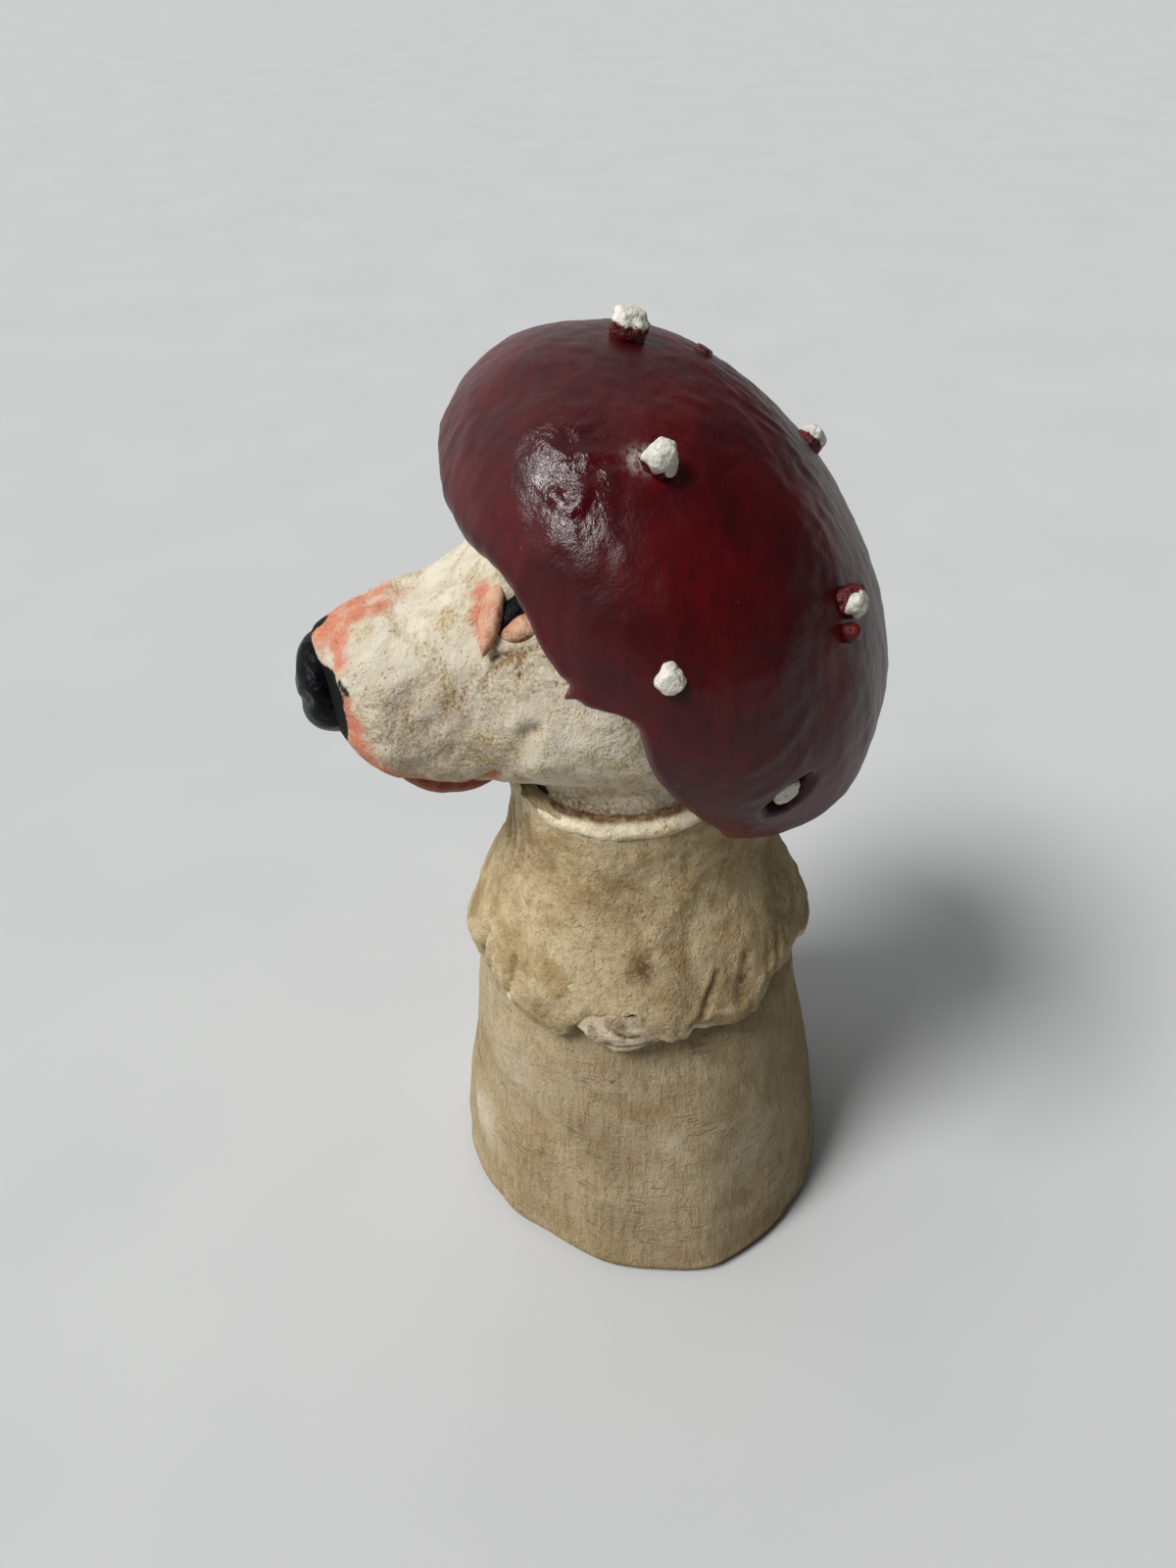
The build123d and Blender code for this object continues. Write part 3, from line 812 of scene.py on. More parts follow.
STATIONS = np.array([
    (-51.5, 10.0, 25.6, 18.0, 6.0),
    (-49.5, 7.8, 28.2, 16.5, 8.6),
    (-46.5, 4.6, 30.4, 14.5, 12.4),
    (-42.0, 2.0, 32.2, 13.8, 16.0),
    (-34.0, 0.6, 35.0, 14.5, 17.2),
    (-27.0, 0.6, 39.8, 16.5, 18.6),
    (-19.5, 1.0, 45.0, 19.0, 21.5),
    (-8.0, 1.0, 50.5, 21.0, 25.0),
    (5.0, 1.0, 53.0, 22.0, 26.0),
    (16.0, 2.5, 50.0, 23.0, 23.0),
    (24.0, 8.0, 42.5, 25.0, 15.5),
    (28.0, 16.0, 34.0, 25.0, 7.0),
])

# Places on the left side of the face
EYE = np.array([15.6, -19.6, 138.0])
EYE_OUT = np.array([0.70, -0.22, 0.68])
EYE_BACK = np.array([0.158, 0.975, 0.153])
EYE_UP = np.array([-0.649, 0.204, 0.733])
LID_TIP = np.array([17.0, -22.0, 132.9])
LID_END = np.array([18.7, -16.0, 136.2])

FACE_CREASES = [
    # path, width, depth, share of brown wash that gathers in it
    ([(16.6, -37, 110.6), (17.8, -30, 113.4), (18.7, -25, 114.2)], 1.8, 0.4, 0.1),
    (
        [(14.6, -25.6, 106.5), (17.4, -23.6, 110.5), (19.8, -20.4, 116), (21.8, -17.2, 120.5)],
        1.7, 0.5, 0.1,
    ),
    ([(21.4, -18.4, 120.4), (22.5, -16.6, 122.0)], 1.0, 0.5, 0.3),
    ([(18.4, -21.3, 131.1), (18.0, -23.0, 129.4), (18.4, -24.6, 126.3)], 0.45, 0.28, 0.8),
    ([(20.3, -15.0, 133.6), (21.4, -13.2, 131.4)], 0.4, 0.2, 0.5),
    ([(16.9, -24.6, 129.4), (16.9, -26.3, 127.2), (17.6, -28.1, 123.4)], 0.5, 0.22, 0.6),
    (
        [(17.4, -22.3, 131.7), (18.8, -19.6, 132.2), (19.5, -17.4, 133.6), (19.6, -15.4, 134.8)],
        0.6, 0.7, 1.0,
    ),
    ([(19.3, -18.3, 132.7), (19.7, -18.9, 131.0), (20.1, -18.6, 129.6)], 0.45, 0.4, 0.9),
    ([(8.0, -33.0, 133.8), (9.6, -30.2, 134.8), (11.0, -27.0, 136.4)], 0.7, 0.25, 0.35),
    ([(5.0, -30.0, 137.6), (7.4, -26.6, 139.4)], 0.7, 0.25, 0.35),
    ([(2.0, -27.0, 140.5), (4.0, -23.5, 142.5)], 0.7, 0.25, 0.35),
    ([(15.0, -38.6, 119.0), (15.8, -36.4, 122.5), (15.2, -34.6, 126.0)], 1.3, 0.25, 0.2),
    ([(16.6, -33.6, 118.0), (17.0, -31.0, 121.5), (16.6, -29.0, 125.0)], 1.2, 0.25, 0.2),
    (
        [(10.2, -27.6, 103.8), (13.1, -28.4, 106.0), (15.4, -25.4, 108.0), (16.5, -23.6, 109.3)],
        0.7, 0.5, 0.6,
    ),
    ([(16.5, -18.8, 104.6), (18.6, -15.0, 105.4), (20.0, -10.5, 106.6)], 1.0, 0.6, 0.8),
]
FACE_LUMPS = [
    # middle, radius, height
    ((15.6, -41.0, 111.0), 7.0, 0.4),
    ((16.6, -32.0, 108.5), 7.0, 0.6),
    ((24.6, -8.0, 121.0), 9.0, 0.5),
    ((21.0, -15.6, 114.0), 6.0, 0.7),
    ((10.6, -21.5, 143.0), 4.5, 0.8),
    ((11.6, -46.6, 124.0), 3.4, 0.4),
    ((20.4, -18.6, 126.5), 4.5, 0.4),
    ((1.6, -51.0, 126.8), 4.2, 0.9),
]
BLUSHES = [
    # middle, radius, share
    ((2.2, -49.6, 128.7), 6.0, 1.0),
    ((5.8, -47.4, 128.6), 4.6, 1.0),
    ((2.2, -45.2, 131.6), 4.8, 1.0),
    ((2.6, -41.6, 133.0), 4.6, 0.8),
    ((8.4, -47.0, 126.2), 3.6, 0.8),
    ((0.3, -38.2, 134.2), 4.0, 0.5),
    ((11.6, -46.6, 120.4), 3.4, 0.8),
    ((12.4, -46.2, 117.2), 4.4, 1.0),
    ((13.0, -45.4, 113.4), 5.0, 1.0),
    ((13.2, -44.2, 110.6), 5.0, 1.0),
    ((13.4, -42.0, 108.6), 4.4, 1.0),
    ((12.8, -39.2, 106.8), 4.2, 1.0),
    ((12.0, -36.0, 105.4), 4.0, 1.0),
    ((12.0, -32.6, 105.0), 3.8, 1.0),
    ((13.4, -28.6, 106.0), 3.2, 0.95),
    ((15.2, -25.0, 107.6), 2.6, 0.8),
    ((13.0, -24.6, 136.6), 3.0, 0.95),
    ((14.7, -24.0, 135.1), 2.6, 0.95),
    ((15.4, -23.2, 134.0), 2.6, 0.9),
    ((10.9, -24.3, 138.9), 3.0, 0.85),
]
SOOT_LINES = [
    # path, width, share
    ([(0, -50.4, 128.0), (0, -52.6, 125.8)], 1.7, 0.95),
    (
        [(0, -53, 123), (3, -52, 123), (5.8, -50.7, 122.6), (8.4, -48.4, 123.0), (10.0, -47.2, 121.4)],
        1.7, 1.0,
    ),
    ([(10.0, -47.2, 121.4), (10.4, -47.4, 118.5), (10.5, -47.8, 115.4), (8.8, -48.6, 112)], 1.7, 1.0),
    ([(8.8, -48.6, 112), (5, -49.8, 109), (0, -50.5, 108)], 1.7, 1.0),
    ([(10.4, -46.6, 123.2), (11.4, -45.9, 122.4)], 1.5, 0.6),
    ([(0, -50.5, 109), (0, -48.4, 105.6), (0, -45.0, 103.4)], 1.0, 1.0),
    ([(10.2, -17.5, 101.8), (11.8, -16.5, 102.0)], 1.0, 1.0),
]
HEAD_NECK_R = 20.2
HEAD_NECK_HEIGHT = 15.0
# Height of the neck's middle over the stem's rim
HEAD_NECK_RISE = 7.2
# Size of the cells in which muzzle and neck are kneaded into one skin
CLAY_GRAIN = 0.46


def station(column, y):
    return curve_through(STATIONS[:, 0], STATIONS[:, column], y)


def make_head():
    rows = np.concatenate([[-52.6, -52.3], np.linspace(-51.5, 28.0, 90), [28.5, 28.7]])
    tuck = np.concatenate([[0.35, 0.7], np.ones(90), [0.7, 0.35]])
    bottom, top, half = station(1, rows), station(2, rows), station(4, rows)
    rings = np.column_stack([rows, RIM_Z + (bottom + top) / 2, half * tuck, (top - bottom) / 2 * tuck])
    piece = lofted("head_clay", rings.tolist(), 120)
    spots = points_of(piece)
    low, high, widest = (RIM_Z + station(column, spots[:, 1]) for column in (1, 2, 3))
    along = (spots[:, 2] - (low + high) / 2) / ((high - low) / 2)
    spots[:, 2] += (widest - (low + high) / 2) * np.clip(1 - along**2, 0, 1)
    # The muzzle is patted square: its sides stand upright and turn over a soft corner into its top
    box = (1 - fade(spots[:, 1], -30, -18)) * fade(spots[:, 1], -51, -45)
    upper = np.clip(along, 0, 1)
    squarer = upper ** (2 / (2 + box)) * (1 - 0.07 * box) - upper
    spots[:, 2] += squarer * (high - low) / 2
    wide = np.maximum(station(4, spots[:, 1]), 1.0)
    across = np.clip(np.abs(spots[:, 0]) / wide, 0, 1)
    narrower = 1 - 0.06 * box * fade(along, -0.3, 0.3)
    fuller = np.where(along > 0, across ** (2 / (2 + box)), across) * narrower
    spots[:, 0] = np.sign(spots[:, 0]) * np.where(box > 0, fuller * wide, np.abs(spots[:, 0]))
    # Its lower sides are pressed in
    pressed = 0.02 * np.exp(-(((along - 0.3) / 0.3) ** 2)) - 0.05 * np.exp(-(((along + 0.35) / 0.3) ** 2))
    spots[:, 0] *= 1 + pressed * (1 - fade(spots[:, 1], -30, -16))
    put_points(piece, spots)
    bpy.ops.mesh.primitive_cylinder_add(
        vertices=96,
        radius=HEAD_NECK_R * MM,
        depth=HEAD_NECK_HEIGHT * MM,
        location=(0, 0, (RIM_Z + HEAD_NECK_RISE) * MM),
    )
    neck = bpy.context.object
    deselect_all()
    neck.select_set(True)
    piece.select_set(True)
    bpy.context.view_layer.objects.active = piece
    bpy.ops.object.join()
    apply_modifier(piece, "REMESH", mode="VOXEL", voxel_size=CLAY_GRAIN * MM)
    apply_modifier(piece, "SMOOTH", factor=0.5, iterations=12)
    spots = points_of(piece)
    normals = normals_of(piece)
    push = np.zeros(len(spots))
    wash = np.zeros(len(spots))
    blush = np.zeros(len(spots))
    soot = np.zeros(len(spots))
    for side in (1, -1):
        here = spots if side > 0 else mirrored(spots) + np.array([0.0, 0.5, 0.4])
        for path, width, depth, share in FACE_CREASES:
            cut = crease(here, path, width, depth, 0.3 if width > 0.9 else 0.08)
            push += cut
            wash += share * np.clip(-cut / depth, 0, 1)
        for middle, radius, height in FACE_LUMPS:
            push += height * ball(here, middle, radius)
        brow_edge = [EYE + 3.6 * EYE_UP - 3.2 * EYE_BACK, EYE - 4.6 * EYE_UP - 3.0 * EYE_BACK]
        flap = path_distance(here, brow_edge)
        push += 0.5 * np.exp(-((flap / 2.4) ** 2)) - 1.3 * ball(here, EYE + 0.5 * EYE_BACK, 3.0)
        for middle, radius, share in BLUSHES:
            blush = np.maximum(blush, share * ball(here, middle, radius))
        for path, width, share in SOOT_LINES:
            soot = np.maximum(soot, share * np.exp(-((path_distance(here, path) / width) ** 2)))
        eye_line = [EYE - 2.2 * EYE_UP - 1.4 * EYE_BACK, EYE + 2.2 * EYE_UP + 1.6 * EYE_BACK]
        slit = path_distance(here, eye_line)
        soot = np.maximum(soot, np.exp(-((slit / 1.8) ** 4)))
    front = (1 - fade(spots[:, 1], -48.4, -47.2)) * (1 - fade(spots[:, 2], 122.6, 124.0))
    soot = np.maximum(soot, front)
    rough = 0.34 * lumps(spots, 8, 41) + 0.2 * lumps(spots, 3.4, 42) + 0.12 * lumps(spots, 1.6, 43)
    put_points(piece, spots + normals * (push + rough)[:, None])
    # Painted shade: the head's bottom is darkened where it meets the coil
    painted_shade_at_neck = (1 - fade(spots[:, 2], 102.5, 107.5)) * fade(spots[:, 1], -25, -20)
    pits = np.clip(-1.4 * rough - 0.3, 0, 0.4)
    socket = 0.4 * ball(spots, (19.5, -18, 131), 5.0) + 0.3 * ball(spots, (21.5, -13.5, 130), 6)
    # Painted shade: the muzzle's lower sides are darkened through the wash layer
    painted_shade_on_flews = 0.32 * fade(np.abs(spots[:, 0]), 12, 16) * (1 - fade(spots[:, 2], 126, 132))
    painted_shade_on_flews = painted_shade_on_flews * (1 - fade(spots[:, 1], -24, -16))
    paint(piece, "wash", wash + pits + 0.7 * painted_shade_at_neck + socket + painted_shade_on_flews)
    paint(piece, "blush", blush)
    paint(piece, "soot", soot)
    finish_piece(piece, face_slip(), "face_slip", "head")


# Nose, lower lip, eyes and lids

NOSE_MIDDLE = np.array([0.0, -50.6, 117.2])
NOSE_TILT = math.radians(24.0)
NOSE_HALF_SIZES = (9.6, 6.4, 9.1)
LIP_MIDDLE = np.array([0, -32.6, 103.0])
LIP_HALF_SIZES = (11.6, 11.2, 4.3)
EYE_HALF_SIZES = (3.4, 1.8, 1.4)
LOWER_LID_HALF_SIZES = (3.7, 2.1, 1.5)
UPPER_LID_HALF_SIZES = (5.6, 2.5, 1.25)
FLAP_LEAN = math.radians(28)


def make_nose():
    piece = clay_ball("nose_pad", 6, NOSE_HALF_SIZES)
    spots = points_of(piece)
    away = unit(spots)
    groove = crease(spots, [(0, -6.4, 3), (0, -6.2, -3), (0, -4.0, -7)], 0.8, 0.5, 0.1)
    for side in (1, -1):
        nostril = [(side * 3.2, -6.0, 1.8), (side * 5.8, -5.0, 1.4), (side * 8.4, -2.6, 2.8)]
        groove += crease(spots, nostril, 1.2, 1.1, 0.1)
        groove += 0.3 * ball(spots, (side * 5.8, -4.4, -2.6), 4.0)
    spots += away * (groove + 0.2 * lumps(spots, 3.6, 51) + 0.1 * lumps(spots, 1.6, 52) - 0.2)[:, None]
    spots[:, 0] *= 1 - 0.22 * fade(-spots[:, 2], 2.0, 9.0)
    # The pad slopes back to the top of the muzzle
    spots[:, 1] *= 1 - 0.3 * fade(spots[:, 2], 0.0, 8.0)
    turn = np.array([
        [1, 0, 0],
        [0, math.cos(NOSE_TILT), math.sin(NOSE_TILT)],
        [0, -math.sin(NOSE_TILT), math.cos(NOSE_TILT)],
    ])
    put_points(piece, spots @ turn + NOSE_MIDDLE)
    spots = points_of(piece)
    line = 124.4 + 0.38 * (4.9 - spots[:, 0])
    paint(piece, "rubbed", fade(spots[:, 2] - line, -0.4, 0.8) * fade(spots[:, 0], 0.6, 2.0))
    finish_piece(piece, black_gloss("nose_gloss", 0.2), "nose_glaze", "nose")


def make_jaw():
    piece = clay_ball("lower_lip", 6, LIP_HALF_SIZES)
    spots = points_of(piece)
    away = unit(spots)
    spots[:, 0] *= 1 - 0.2 * np.clip(-spots[:, 1] / 11.4, 0, 1) ** 2
    spots += away * (0.35 * lumps(spots, 4, 53) + 0.18 * lumps(spots, 1.8, 54))[:, None]
    put_points(piece, spots + LIP_MIDDLE)
    spots = points_of(piece)
    patches = np.clip(lumps(spots, 3, 55), 0, 1)
    paint(piece, "wash", 0.55 * fade(spots[:, 2], 101.2, 103.2) + 0.4 * patches)
    finish_piece(piece, lip_pink(), "lip_pink", "lower_jaw")


def dab(name, size, shape, seed):
    """A dab of clay: a ball pressed to size, then pinched by shape, with fingertip lumps."""
    piece = clay_ball(name, 5, size)
    spots = shape(points_of(piece))
    away = unit(spots)
    spots += away * (0.14 * lumps(spots, 1.7, seed))[:, None]
    return piece, spots


def set_on_face(piece, spots, middle, axes, side):
    put_points(piece, (spots @ np.array(axes) + middle) * np.array([side, 1, 1]))
    if side < 0:
        close_skin(piece)


def pinched_flap(spots):
    """Thin towards the nose, full along the edge that hangs over the eye, with a pointed tip."""
    spots[:, 1] *= 1 - 0.65 * np.clip(-spots[:, 0] / 5.4, 0, 1) ** 1.3
    spots[:, 2] *= 1 - 0.6 * fade(spots[:, 1], -1.0, 1.8)
    return spots


def pinched_pad(spots):
    """Pointed where it meets the flap, flat on top."""
    spots[:, 1] *= 1 - 0.55 * np.clip(-spots[:, 0] / 4.2, 0, 1) ** 1.5
    return spots


def make_eyes():
    pink = lid_pink()
    gloss = black_gloss("eye_gloss", 0.4)
    slit = 0.62 * EYE_BACK + 0.78 * EYE_UP
    over = np.cross(EYE_OUT, slit)
    # The upper lid's flap leans so that the side towards the nose sinks into the face
    towards_nose = np.cross(EYE_OUT, EYE_UP)
    flap_out = math.cos(FLAP_LEAN) * EYE_OUT + math.sin(FLAP_LEAN) * towards_nose
    across = math.cos(FLAP_LEAN) * towards_nose - math.sin(FLAP_LEAN) * EYE_OUT
    lid = unit(LID_END - LID_TIP)
    lid_out = unit(EYE_OUT - (EYE_OUT @ lid) * lid)
    eye_place = EYE + 0.4 * slit - 1.3 * EYE_OUT
    eye_axes = (slit, over, EYE_OUT)
    lower_place = (LID_TIP + LID_END) / 2 + 1.8 * EYE_UP - 0.4 * EYE_OUT
    lower_axes = (lid, np.cross(lid_out, lid), lid_out)
    upper_place = EYE - 3.4 * EYE_BACK - 0.6 * EYE_UP - 0.85 * EYE_OUT
    upper_axes = (EYE_UP, across, flap_out)
    for side, word in ((1, "left"), (-1, "right")):
        piece, spots = dab(f"eye_bead_{word}", EYE_HALF_SIZES, np.copy, 61)
        set_on_face(piece, spots, eye_place, eye_axes, side)
        finish_piece(piece, gloss, "eye_glaze", f"eye_{word}")
        piece, spots = dab(f"lower_lid_{word}", LOWER_LID_HALF_SIZES, pinched_pad, 62)
        # Painted shade: the lower lid is darkened along both its long edges
        paint(piece, "wash", 0.8 * fade(-spots[:, 1], 1.1, 2.0) + 0.8 * fade(spots[:, 1], 1.2, 1.9))
        set_on_face(piece, spots, lower_place, lower_axes, side)
        finish_piece(piece, pink, "lip_pink", f"lower_eyelid_{word}")
        piece, spots = dab(f"upper_lid_{word}", UPPER_LID_HALF_SIZES, pinched_flap, 63)
        # Painted shade: the flap is darkened along the edge that hangs over the eye, and a little towards
        # its lower tip
        paint(piece, "wash", 0.9 * fade(-spots[:, 1], 1.7, 2.4) + 0.3 * fade(-spots[:, 0], 3.5, 5.0))
        set_on_face(piece, spots, upper_place, upper_axes, side)
        finish_piece(piece, pink, "lip_pink", f"upper_eyelid_{word}")


# Cap, in angles: azimuth 0 is the nape, 90 the left side, 180 the brow; polar angle 0 is the crown

RIM_SIDE_Z = -6.9
# The rim's height by azimuth: low over the brow, a step and a hanging drip beside the eye, then waves
RIM_ANGLES = (
    -180, -150, -130, -110, -90, -60, -30, 0, 20, 30, 40, 48, 52,
    56, 64, 72, 81, 89, 94, 97.5, 100, 102, 105, 106.9, 108,
    109.1, 112.5, 118, 122, 128, 131, 134, 138, 147, 155, 165, 180,
)
RIM_HEIGHTS = (
    -12.1, -12, -10, -8, -6.9, -7, -8.6, -8, -9, -9.8, -10.3, -9.8, -10.7,
    -9.3, -8.6, -8.0, -7.9, -6.9, -5.2, -4.5, -5.4, -7.3, -8.9, -9.8, -11.4,
    -9.9, -9.7, -9.1, -8.6, -8.2, -8.3, -8.7, -9.6, -11.6, -12.4, -12.3, -12.1,
)
CAP_LIP = 2.2
# Half height of the oval that the rim follows where it is drawn down
RIM_OVAL = 30.0
PIT_SITE = (63, 84)
CAP_DENTS = [
    # azimuth, polar angle, radius, height: flats and swellings left by the hand
    (198, 68, 15, -1.3),
    (150, 84, 10, 0.6),
    (120, 50, 12, -0.5),
    (60, 60, 12, 0.4),
    (29, 61, 10, -1.0),
]
PAINT_RIDGES = [
    # azimuths and polar angles along a ridge of thick paint, width, height
    ([(138, 84), (134.5, 83), (133.6, 79.5), (136.5, 76)], 0.5, 0.3),
    ([(146, 80), (143, 77), (141.5, 72)], 0.45, 0.25),
    ([(150, 77), (147, 71), (148, 66)], 0.45, 0.22),
    ([(141, 70), (139, 65)], 0.4, 0.2),
    ([(70, 72), (69, 82), (71, 92)], 0.5, 0.2),
    ([(76, 64), (76, 76), (78, 86)], 0.5, 0.2),
]


def cap_world(local):
    return local @ CAP_AXES + CAP_MIDDLE


def cap_site(azimuth, polar):
    """A place on the cap: its middle, and the directions across it and out of it."""
    a, p = math.radians(azimuth), math.radians(polar)
    half = np.array([CAP_R, CAP_R, CAP_HALF_HEIGHT])
    ray = np.array([math.sin(p) * math.sin(a), math.sin(p) * math.cos(a), math.cos(p)])
    out = unit(ray / half)
    side = unit(np.cross(out, [0.0, 0.0, 1.0]))
    return cap_world(ray * half), np.stack([side, np.cross(out, side), out]) @ CAP_AXES


def rim_drop(azimuth):
    """How far the rim lies under its height at the side, by azimuth in degrees."""
    ring = outwards(azimuth)
    waver = 0.3 * lumps(ring * 42, 5, 71) + 0.2 * lumps(ring * 42, 2.2, 72)
    return RIM_SIDE_Z + 1.1 - curve_through(RIM_ANGLES, RIM_HEIGHTS, azimuth) + waver


def make_cap():
    lip_z = RIM_SIDE_Z + CAP_LIP
    far = math.acos(lip_z / CAP_HALF_HEIGHT)
    near = math.acos(lip_z / (CAP_HALF_HEIGHT - CAP_WALL))
    outer = [(CAP_R * math.sin(p), CAP_HALF_HEIGHT * math.cos(p)) for p in np.linspace(0, far, 116)]
    inner_r, inner_h = CAP_R - CAP_WALL, CAP_HALF_HEIGHT - CAP_WALL
    inner = [(inner_r * math.sin(p), inner_h * math.cos(p)) for p in np.linspace(near, 0, 50)]
    middle = (outer[-1][0] + inner[0][0]) / 2
    reach = (outer[-1][0] - inner[0][0]) / 2
    sweep = np.linspace(0, math.pi, 18)[1:-1]
    edge = [(middle + reach * math.cos(a), lip_z - CAP_LIP * math.sin(a)) for a in sweep]
    piece = turned("cap_shell", [*outer, *edge, *inner], 432)
    local = points_of(piece)
    # Round the Z axis the nape lies along +Y and the left side along +X
    azimuth = np.degrees(np.arctan2(local[:, 0], local[:, 1]))
    height = local[:, 2] - rim_drop(azimuth) * (1 - fade(local[:, 2], RIM_SIDE_Z, 9.0))
    shrink = np.sqrt(1 - (height / RIM_OVAL) ** 2) / np.sqrt(1 - (local[:, 2] / RIM_OVAL) ** 2)
    local = np.column_stack([local[:, :2] * shrink[:, None], height])
    put_points(piece, cap_world(local))
    spots = points_of(piece)
    normals = normals_of(piece)
    skin = fade(np.linalg.norm(local / np.array([CAP_R, CAP_R, CAP_HALF_HEIGHT]), axis=1), 0.9, 0.97)
    push = 0.4 * lumps(spots, 18, 73) + 0.22 * lumps(spots, 7, 74) - 0.1
    # Brush marks that run down the sides
    strokes = spots * np.array([1, 1, 0.14])
    push += 0.1 * lumps(strokes, 1.8, 75)
    push += 0.08 * lumps(spots, 1.6, 76)
    for at, polar, radius, high in CAP_DENTS:
        push += high * ball(spots, cap_site(at, polar)[0], radius)
    for path, width, high in PAINT_RIDGES:
        line = [cap_site(*place)[0] for place in path]
        push += high * np.exp(-((path_distance(spots, line) / (1.6 * width)) ** 2))
    # The pit that the left nape's wart lies in
    place, turn = cap_site(*PIT_SITE)
    flat = (spots - place) @ turn.T
    pit = (1 - fade(np.hypot(flat[:, 0] / 3.0, flat[:, 1] / 5.0), 0.5, 1.05)) * (flat[:, 2] > -4)
    put_points(piece, spots + normals * (skin * (push - 3.2 * pit))[:, None])
    # The pit is painted dark as shade
    paint(piece, "wear_and_pit_shade", 0.9 * pit * skin)
    paint(piece, "smear", 0.9 * ball(spots, cap_site(137, 61.5)[0], 2.2))
    wrinkled = ball(spots, cap_site(146, 73)[0], 10) + 0.8 * ball(spots, cap_site(134, 80)[0], 10)
    paint(piece, "wrinkled", 0.12 + wrinkled + 0.5 * ball(spots, cap_site(62, 92)[0], 9))
    finish_piece(piece, cap_red(), "cap_glaze", "cap", angle=80)


# Warts: azimuth, polar angle, radius, height, share of the height that stays red, slant of the white
WARTS = {
    "brow": (178.5, 52, 2.5, 3.6, 0.5, 0.0),
    "left_brow": (134.5, 59, 1.8, 4.2, 0.05, -0.2),
    "crown": (-104, 10, 2.1, 2.9, 0.2, 0.6),
    "left_crown": (77.5, 37, 2.2, 3.3, 0.75, 0.9),
    "left_side": (102, 84.6, 1.85, 2.1, 0.05, 0.0),
    "left_nape": (*PIT_SITE, 2.2, -0.4, -9.0, 0.0),
    "right_crown": (-166.5, 33.5, 1.6, 0.8, 9.0, 0.0),
    "right_brow": (-128, 62, 2.4, 3.8, 0.45, 0.2),
    "right_side": (-96, 84, 2.5, 3.0, 0.15, 0.3),
    "right_back": (-62, 50, 2.3, 3.6, 0.5, 0.4),
    "right_nape": (-48, 84, 2.4, 2.6, 0.15, 0.1),
    "nape": (-22, 66, 2.4, 3.2, 0.4, 0.2),
}
WART_ROOT = 2.4
WART_SQUARENESS = 0.8
BEAD_SITE = (75, 43)
BEAD_R = 1.5
BEAD_RISE = 0.75


def make_warts():
    clay = wart_clay()
    for seed, (word, (azimuth, polar, radius, high, red, slant)) in enumerate(WARTS.items()):
        tall = (high + WART_ROOT) / 2
        piece = clay_ball(f"wart_{word}", 5, (radius, radius, tall))
        spots = points_of(piece)
        size = np.array([radius, radius, tall])
        share = spots / size
        spots = np.sign(share) * np.abs(share) ** WART_SQUARENESS * size
        away = unit(share)
        bumps = 0.42 * lumps(spots, 2.4, 81 + seed) + 0.34 * lumps(spots, 1.1, 101 + seed)
        spots += away * (bumps + 0.12 * lumps(spots, 0.6, 141 + seed))[:, None]
        spots[:, 2] += (high - WART_ROOT) / 2
        spots[:, 2] = np.minimum(spots[:, 2], high - 0.4 + 0.3 * (spots[:, 2] - high + 0.4))
        white = (spots[:, 2] / max(high, 1) - red) * 1.6 + 0.5 + slant * spots[:, 1] / radius
        place, turn = cap_site(azimuth, polar)
        put_points(piece, place + spots @ turn)
        paint(piece, "white", white + 0.25 * lumps(spots, 1.5, 121 + seed))
        finish_piece(piece, clay, "wart_clay", f"cap_wart_{word}")
    piece = clay_ball("wart_bead", 4, (BEAD_R, BEAD_R, BEAD_R))
    spots = points_of(piece)
    spots = spots * (1 + 0.12 * lumps(spots, 1.2, 99))[:, None]
    place, turn = cap_site(*BEAD_SITE)
    put_points(piece, place + (spots + np.array([0, 0, BEAD_RISE])) @ turn)
    paint(piece, "white", np.zeros(len(spots)))
    finish_piece(piece, clay, "wart_clay", "cap_wart_bead")


def dress_solids():
    """The hidden slab and pad keep their solids."""
    clay = bare_clay()
    for name in ("base_slab", "crown_pad"):
        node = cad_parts[name]
        node.data.materials.clear()
        node.data.materials.append(clay)


# Stage: a plain pale floor, soft light from the left, and the photograph's camera

FLOOR_SIZE = 14.0
WINDOW_SIDE = (0.31, -0.50, 0.81)
WINDOW_STRENGTH = 2.95
WINDOW_SPREAD = math.radians(20)
NEAR_SIDE = (0.87, 0.1, 0.48)
LEFT_SIDE = (-0.1, -0.99, 0)
FAR_SIDE = (-0.85, -0.53, 0)
LIT_SIDE = (-0.25, -0.9, 0.36)
CAMERA_PLACE = (165.0, -9.3, 222.75)
CAMERA_PITCH = math.radians(38.0)
CAMERA_ROLL = math.radians(1.87)
CAMERA_LENS = 27.0


def seen_rays(tree):
    """Which rays come straight from the camera, and which by way of a gloss or a clear piece."""
    camera = add_node(tree, "ShaderNodeLightPath", output="Is Camera Ray")
    glossy = add_node(tree, "ShaderNodeLightPath", output="Is Glossy Ray")
    through = add_node(tree, "ShaderNodeLightPath", output="Is Transmission Ray")
    return camera, (glossy + through).clamped()


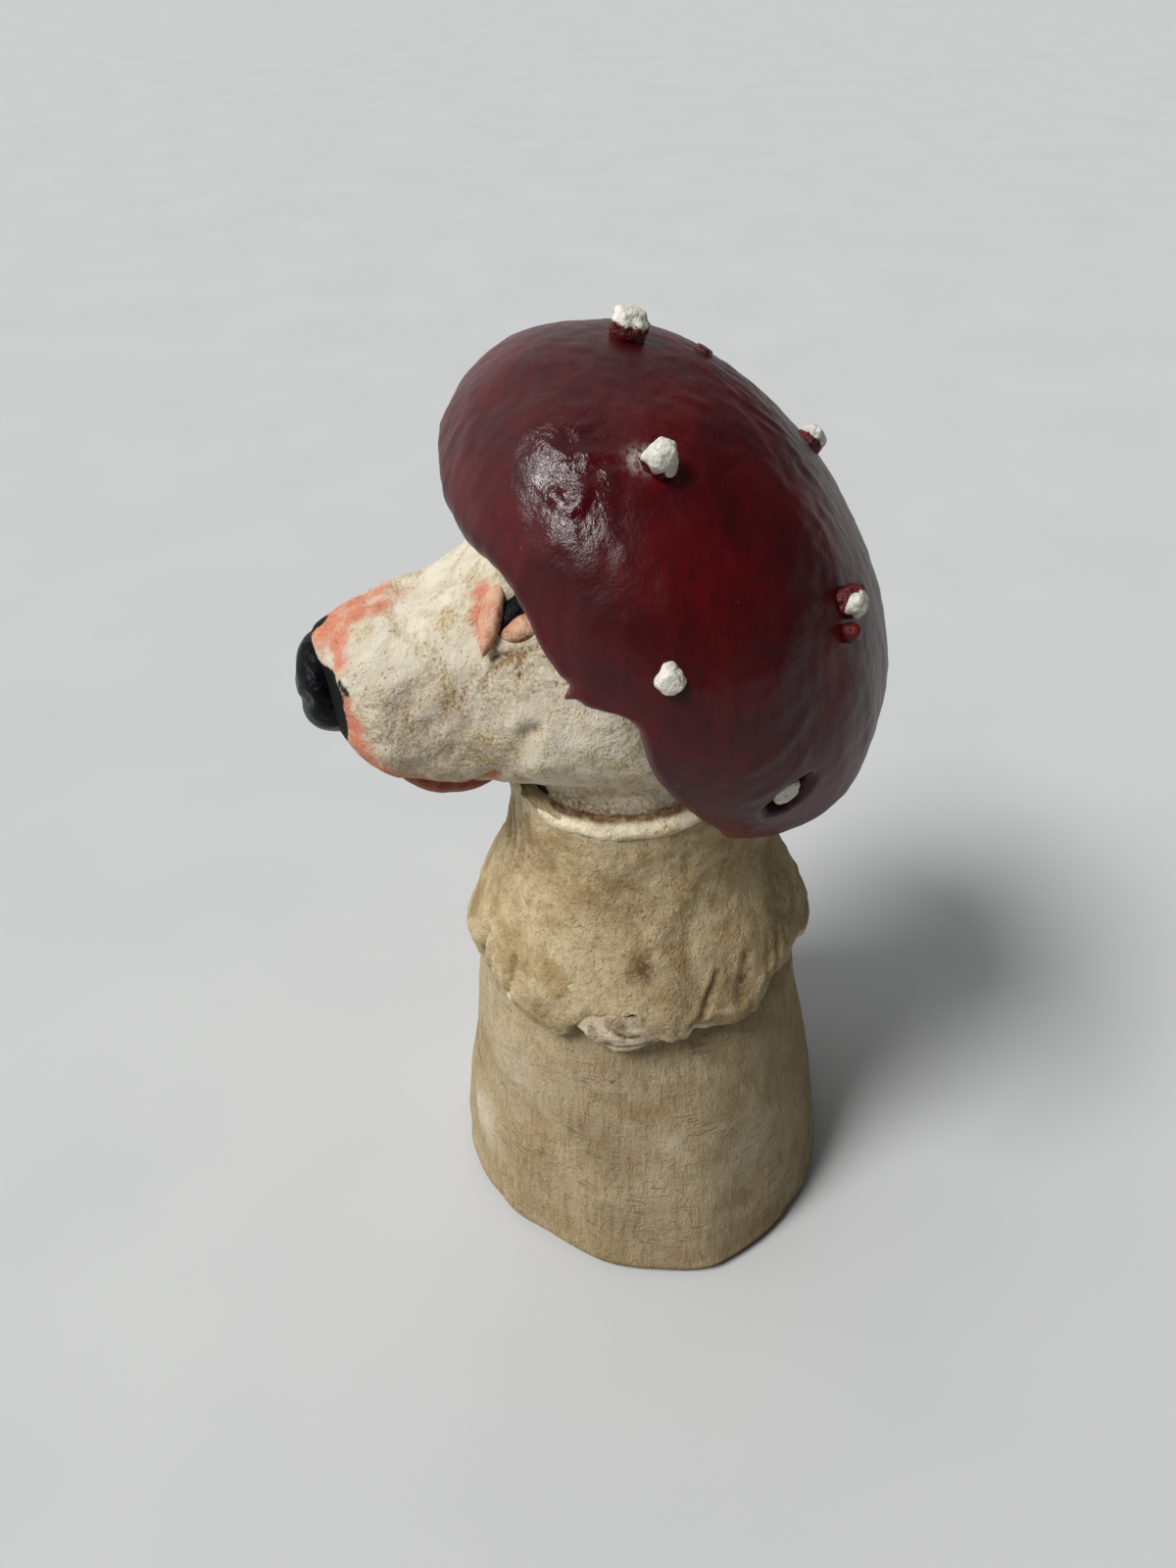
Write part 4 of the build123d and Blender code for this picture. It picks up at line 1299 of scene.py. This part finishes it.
def make_stage():
    bpy.ops.mesh.primitive_plane_add(size=FLOOR_SIZE)
    floor = bpy.context.object
    floor.name = "floor"
    f = Finish("floor_paper", shine=0.1)
    paper = f.mix(f.grain(60, 2).above(0.3, 0.7), ink(198, 199, 198), ink(195, 196, 196))
    camera, reflected = seen_rays(f.tree)
    colour = f.mix((camera + reflected).clamped(), ink(172, 170, 166), paper)
    floor.data.materials.append(f.done(colour, 0.9))
    sun = bpy.data.lights.new("window", "SUN")
    sun.energy = WINDOW_STRENGTH
    sun.angle = WINDOW_SPREAD
    lamp = bpy.data.objects.new("window", sun)
    bpy.context.scene.collection.objects.link(lamp)
    to_light = unit(WINDOW_SIDE)
    side = unit(np.cross([0.0, 0.0, 1.0], to_light))
    axes = np.stack([side, np.cross(to_light, side), to_light])
    lamp.matrix_world = Matrix(axes.T.tolist()).to_4x4()
    make_room()


def make_room():
    """A pale ceiling, a bright wall to the left and a sweep behind; the near and right sides are dim.

    The camera itself sees an even, pale backdrop on every side.
    """
    world = bpy.data.worlds.new("room")
    world.use_nodes = True
    tree = world.node_tree
    way = add_node(tree, "ShaderNodeTexCoord", output="Generated")

    def along(direction):
        settings = {"operation": "DOT_PRODUCT"}
        return add_node(tree, "ShaderNodeVectorMath", settings, {0: way, 1: direction}, "Value")

    dim = along(NEAR_SIDE).above(0.35, 0.85)
    high = along((0, 0, 1)).above(0.1, 0.6)
    left = along(LEFT_SIDE).above(0.1, 1.0)
    behind = along(FAR_SIDE).above(0.2, 0.95)
    background = tree.nodes["Background"]
    background.inputs["Color"].default_value = (0.97, 0.99, 1.0, 1)
    lit = along(LIT_SIDE).above(-0.25, 0.45) * (1 - dim)
    walls = high * 0.52 + (1 - high) * (left * 1.7 + behind * 0.3)
    camera, reflected = seen_rays(tree)
    backdrop = camera * 0.66 + reflected * (0.07 + lit * 0.57)
    unseen = 1 - (camera + reflected).clamped()
    plug(tree, background.inputs["Strength"], unseen * (0.055 + lit * walls) + backdrop)
    bpy.context.scene.world = world


def make_camera():
    forward = np.array([-math.cos(CAMERA_PITCH), 0, -math.sin(CAMERA_PITCH)])
    plumb = np.array([math.sin(CAMERA_PITCH), 0, -math.cos(CAMERA_PITCH)])
    level = np.array([0.0, 1.0, 0.0])
    right = math.cos(CAMERA_ROLL) * level + math.sin(CAMERA_ROLL) * plumb
    down = math.cos(CAMERA_ROLL) * plumb - math.sin(CAMERA_ROLL) * level
    data = bpy.data.cameras.new("phone")
    data.lens = CAMERA_LENS
    data.sensor_width = 36.0
    data.clip_start = 0.01
    camera = bpy.data.objects.new("phone", data)
    bpy.context.scene.collection.objects.link(camera)
    place = Matrix(np.stack([right, -down, -forward]).T.tolist()).to_4x4()
    place.translation = [c * MM for c in CAMERA_PLACE]
    camera.matrix_world = place
    bpy.context.scene.camera = camera
    bpy.context.scene.view_settings.view_transform = "Standard"


make_camera()
make_stem()
make_skirt()
make_tab()
make_coil()
make_head()
make_nose()
make_jaw()
make_eyes()
make_cap()
make_warts()
dress_solids()
make_stage()
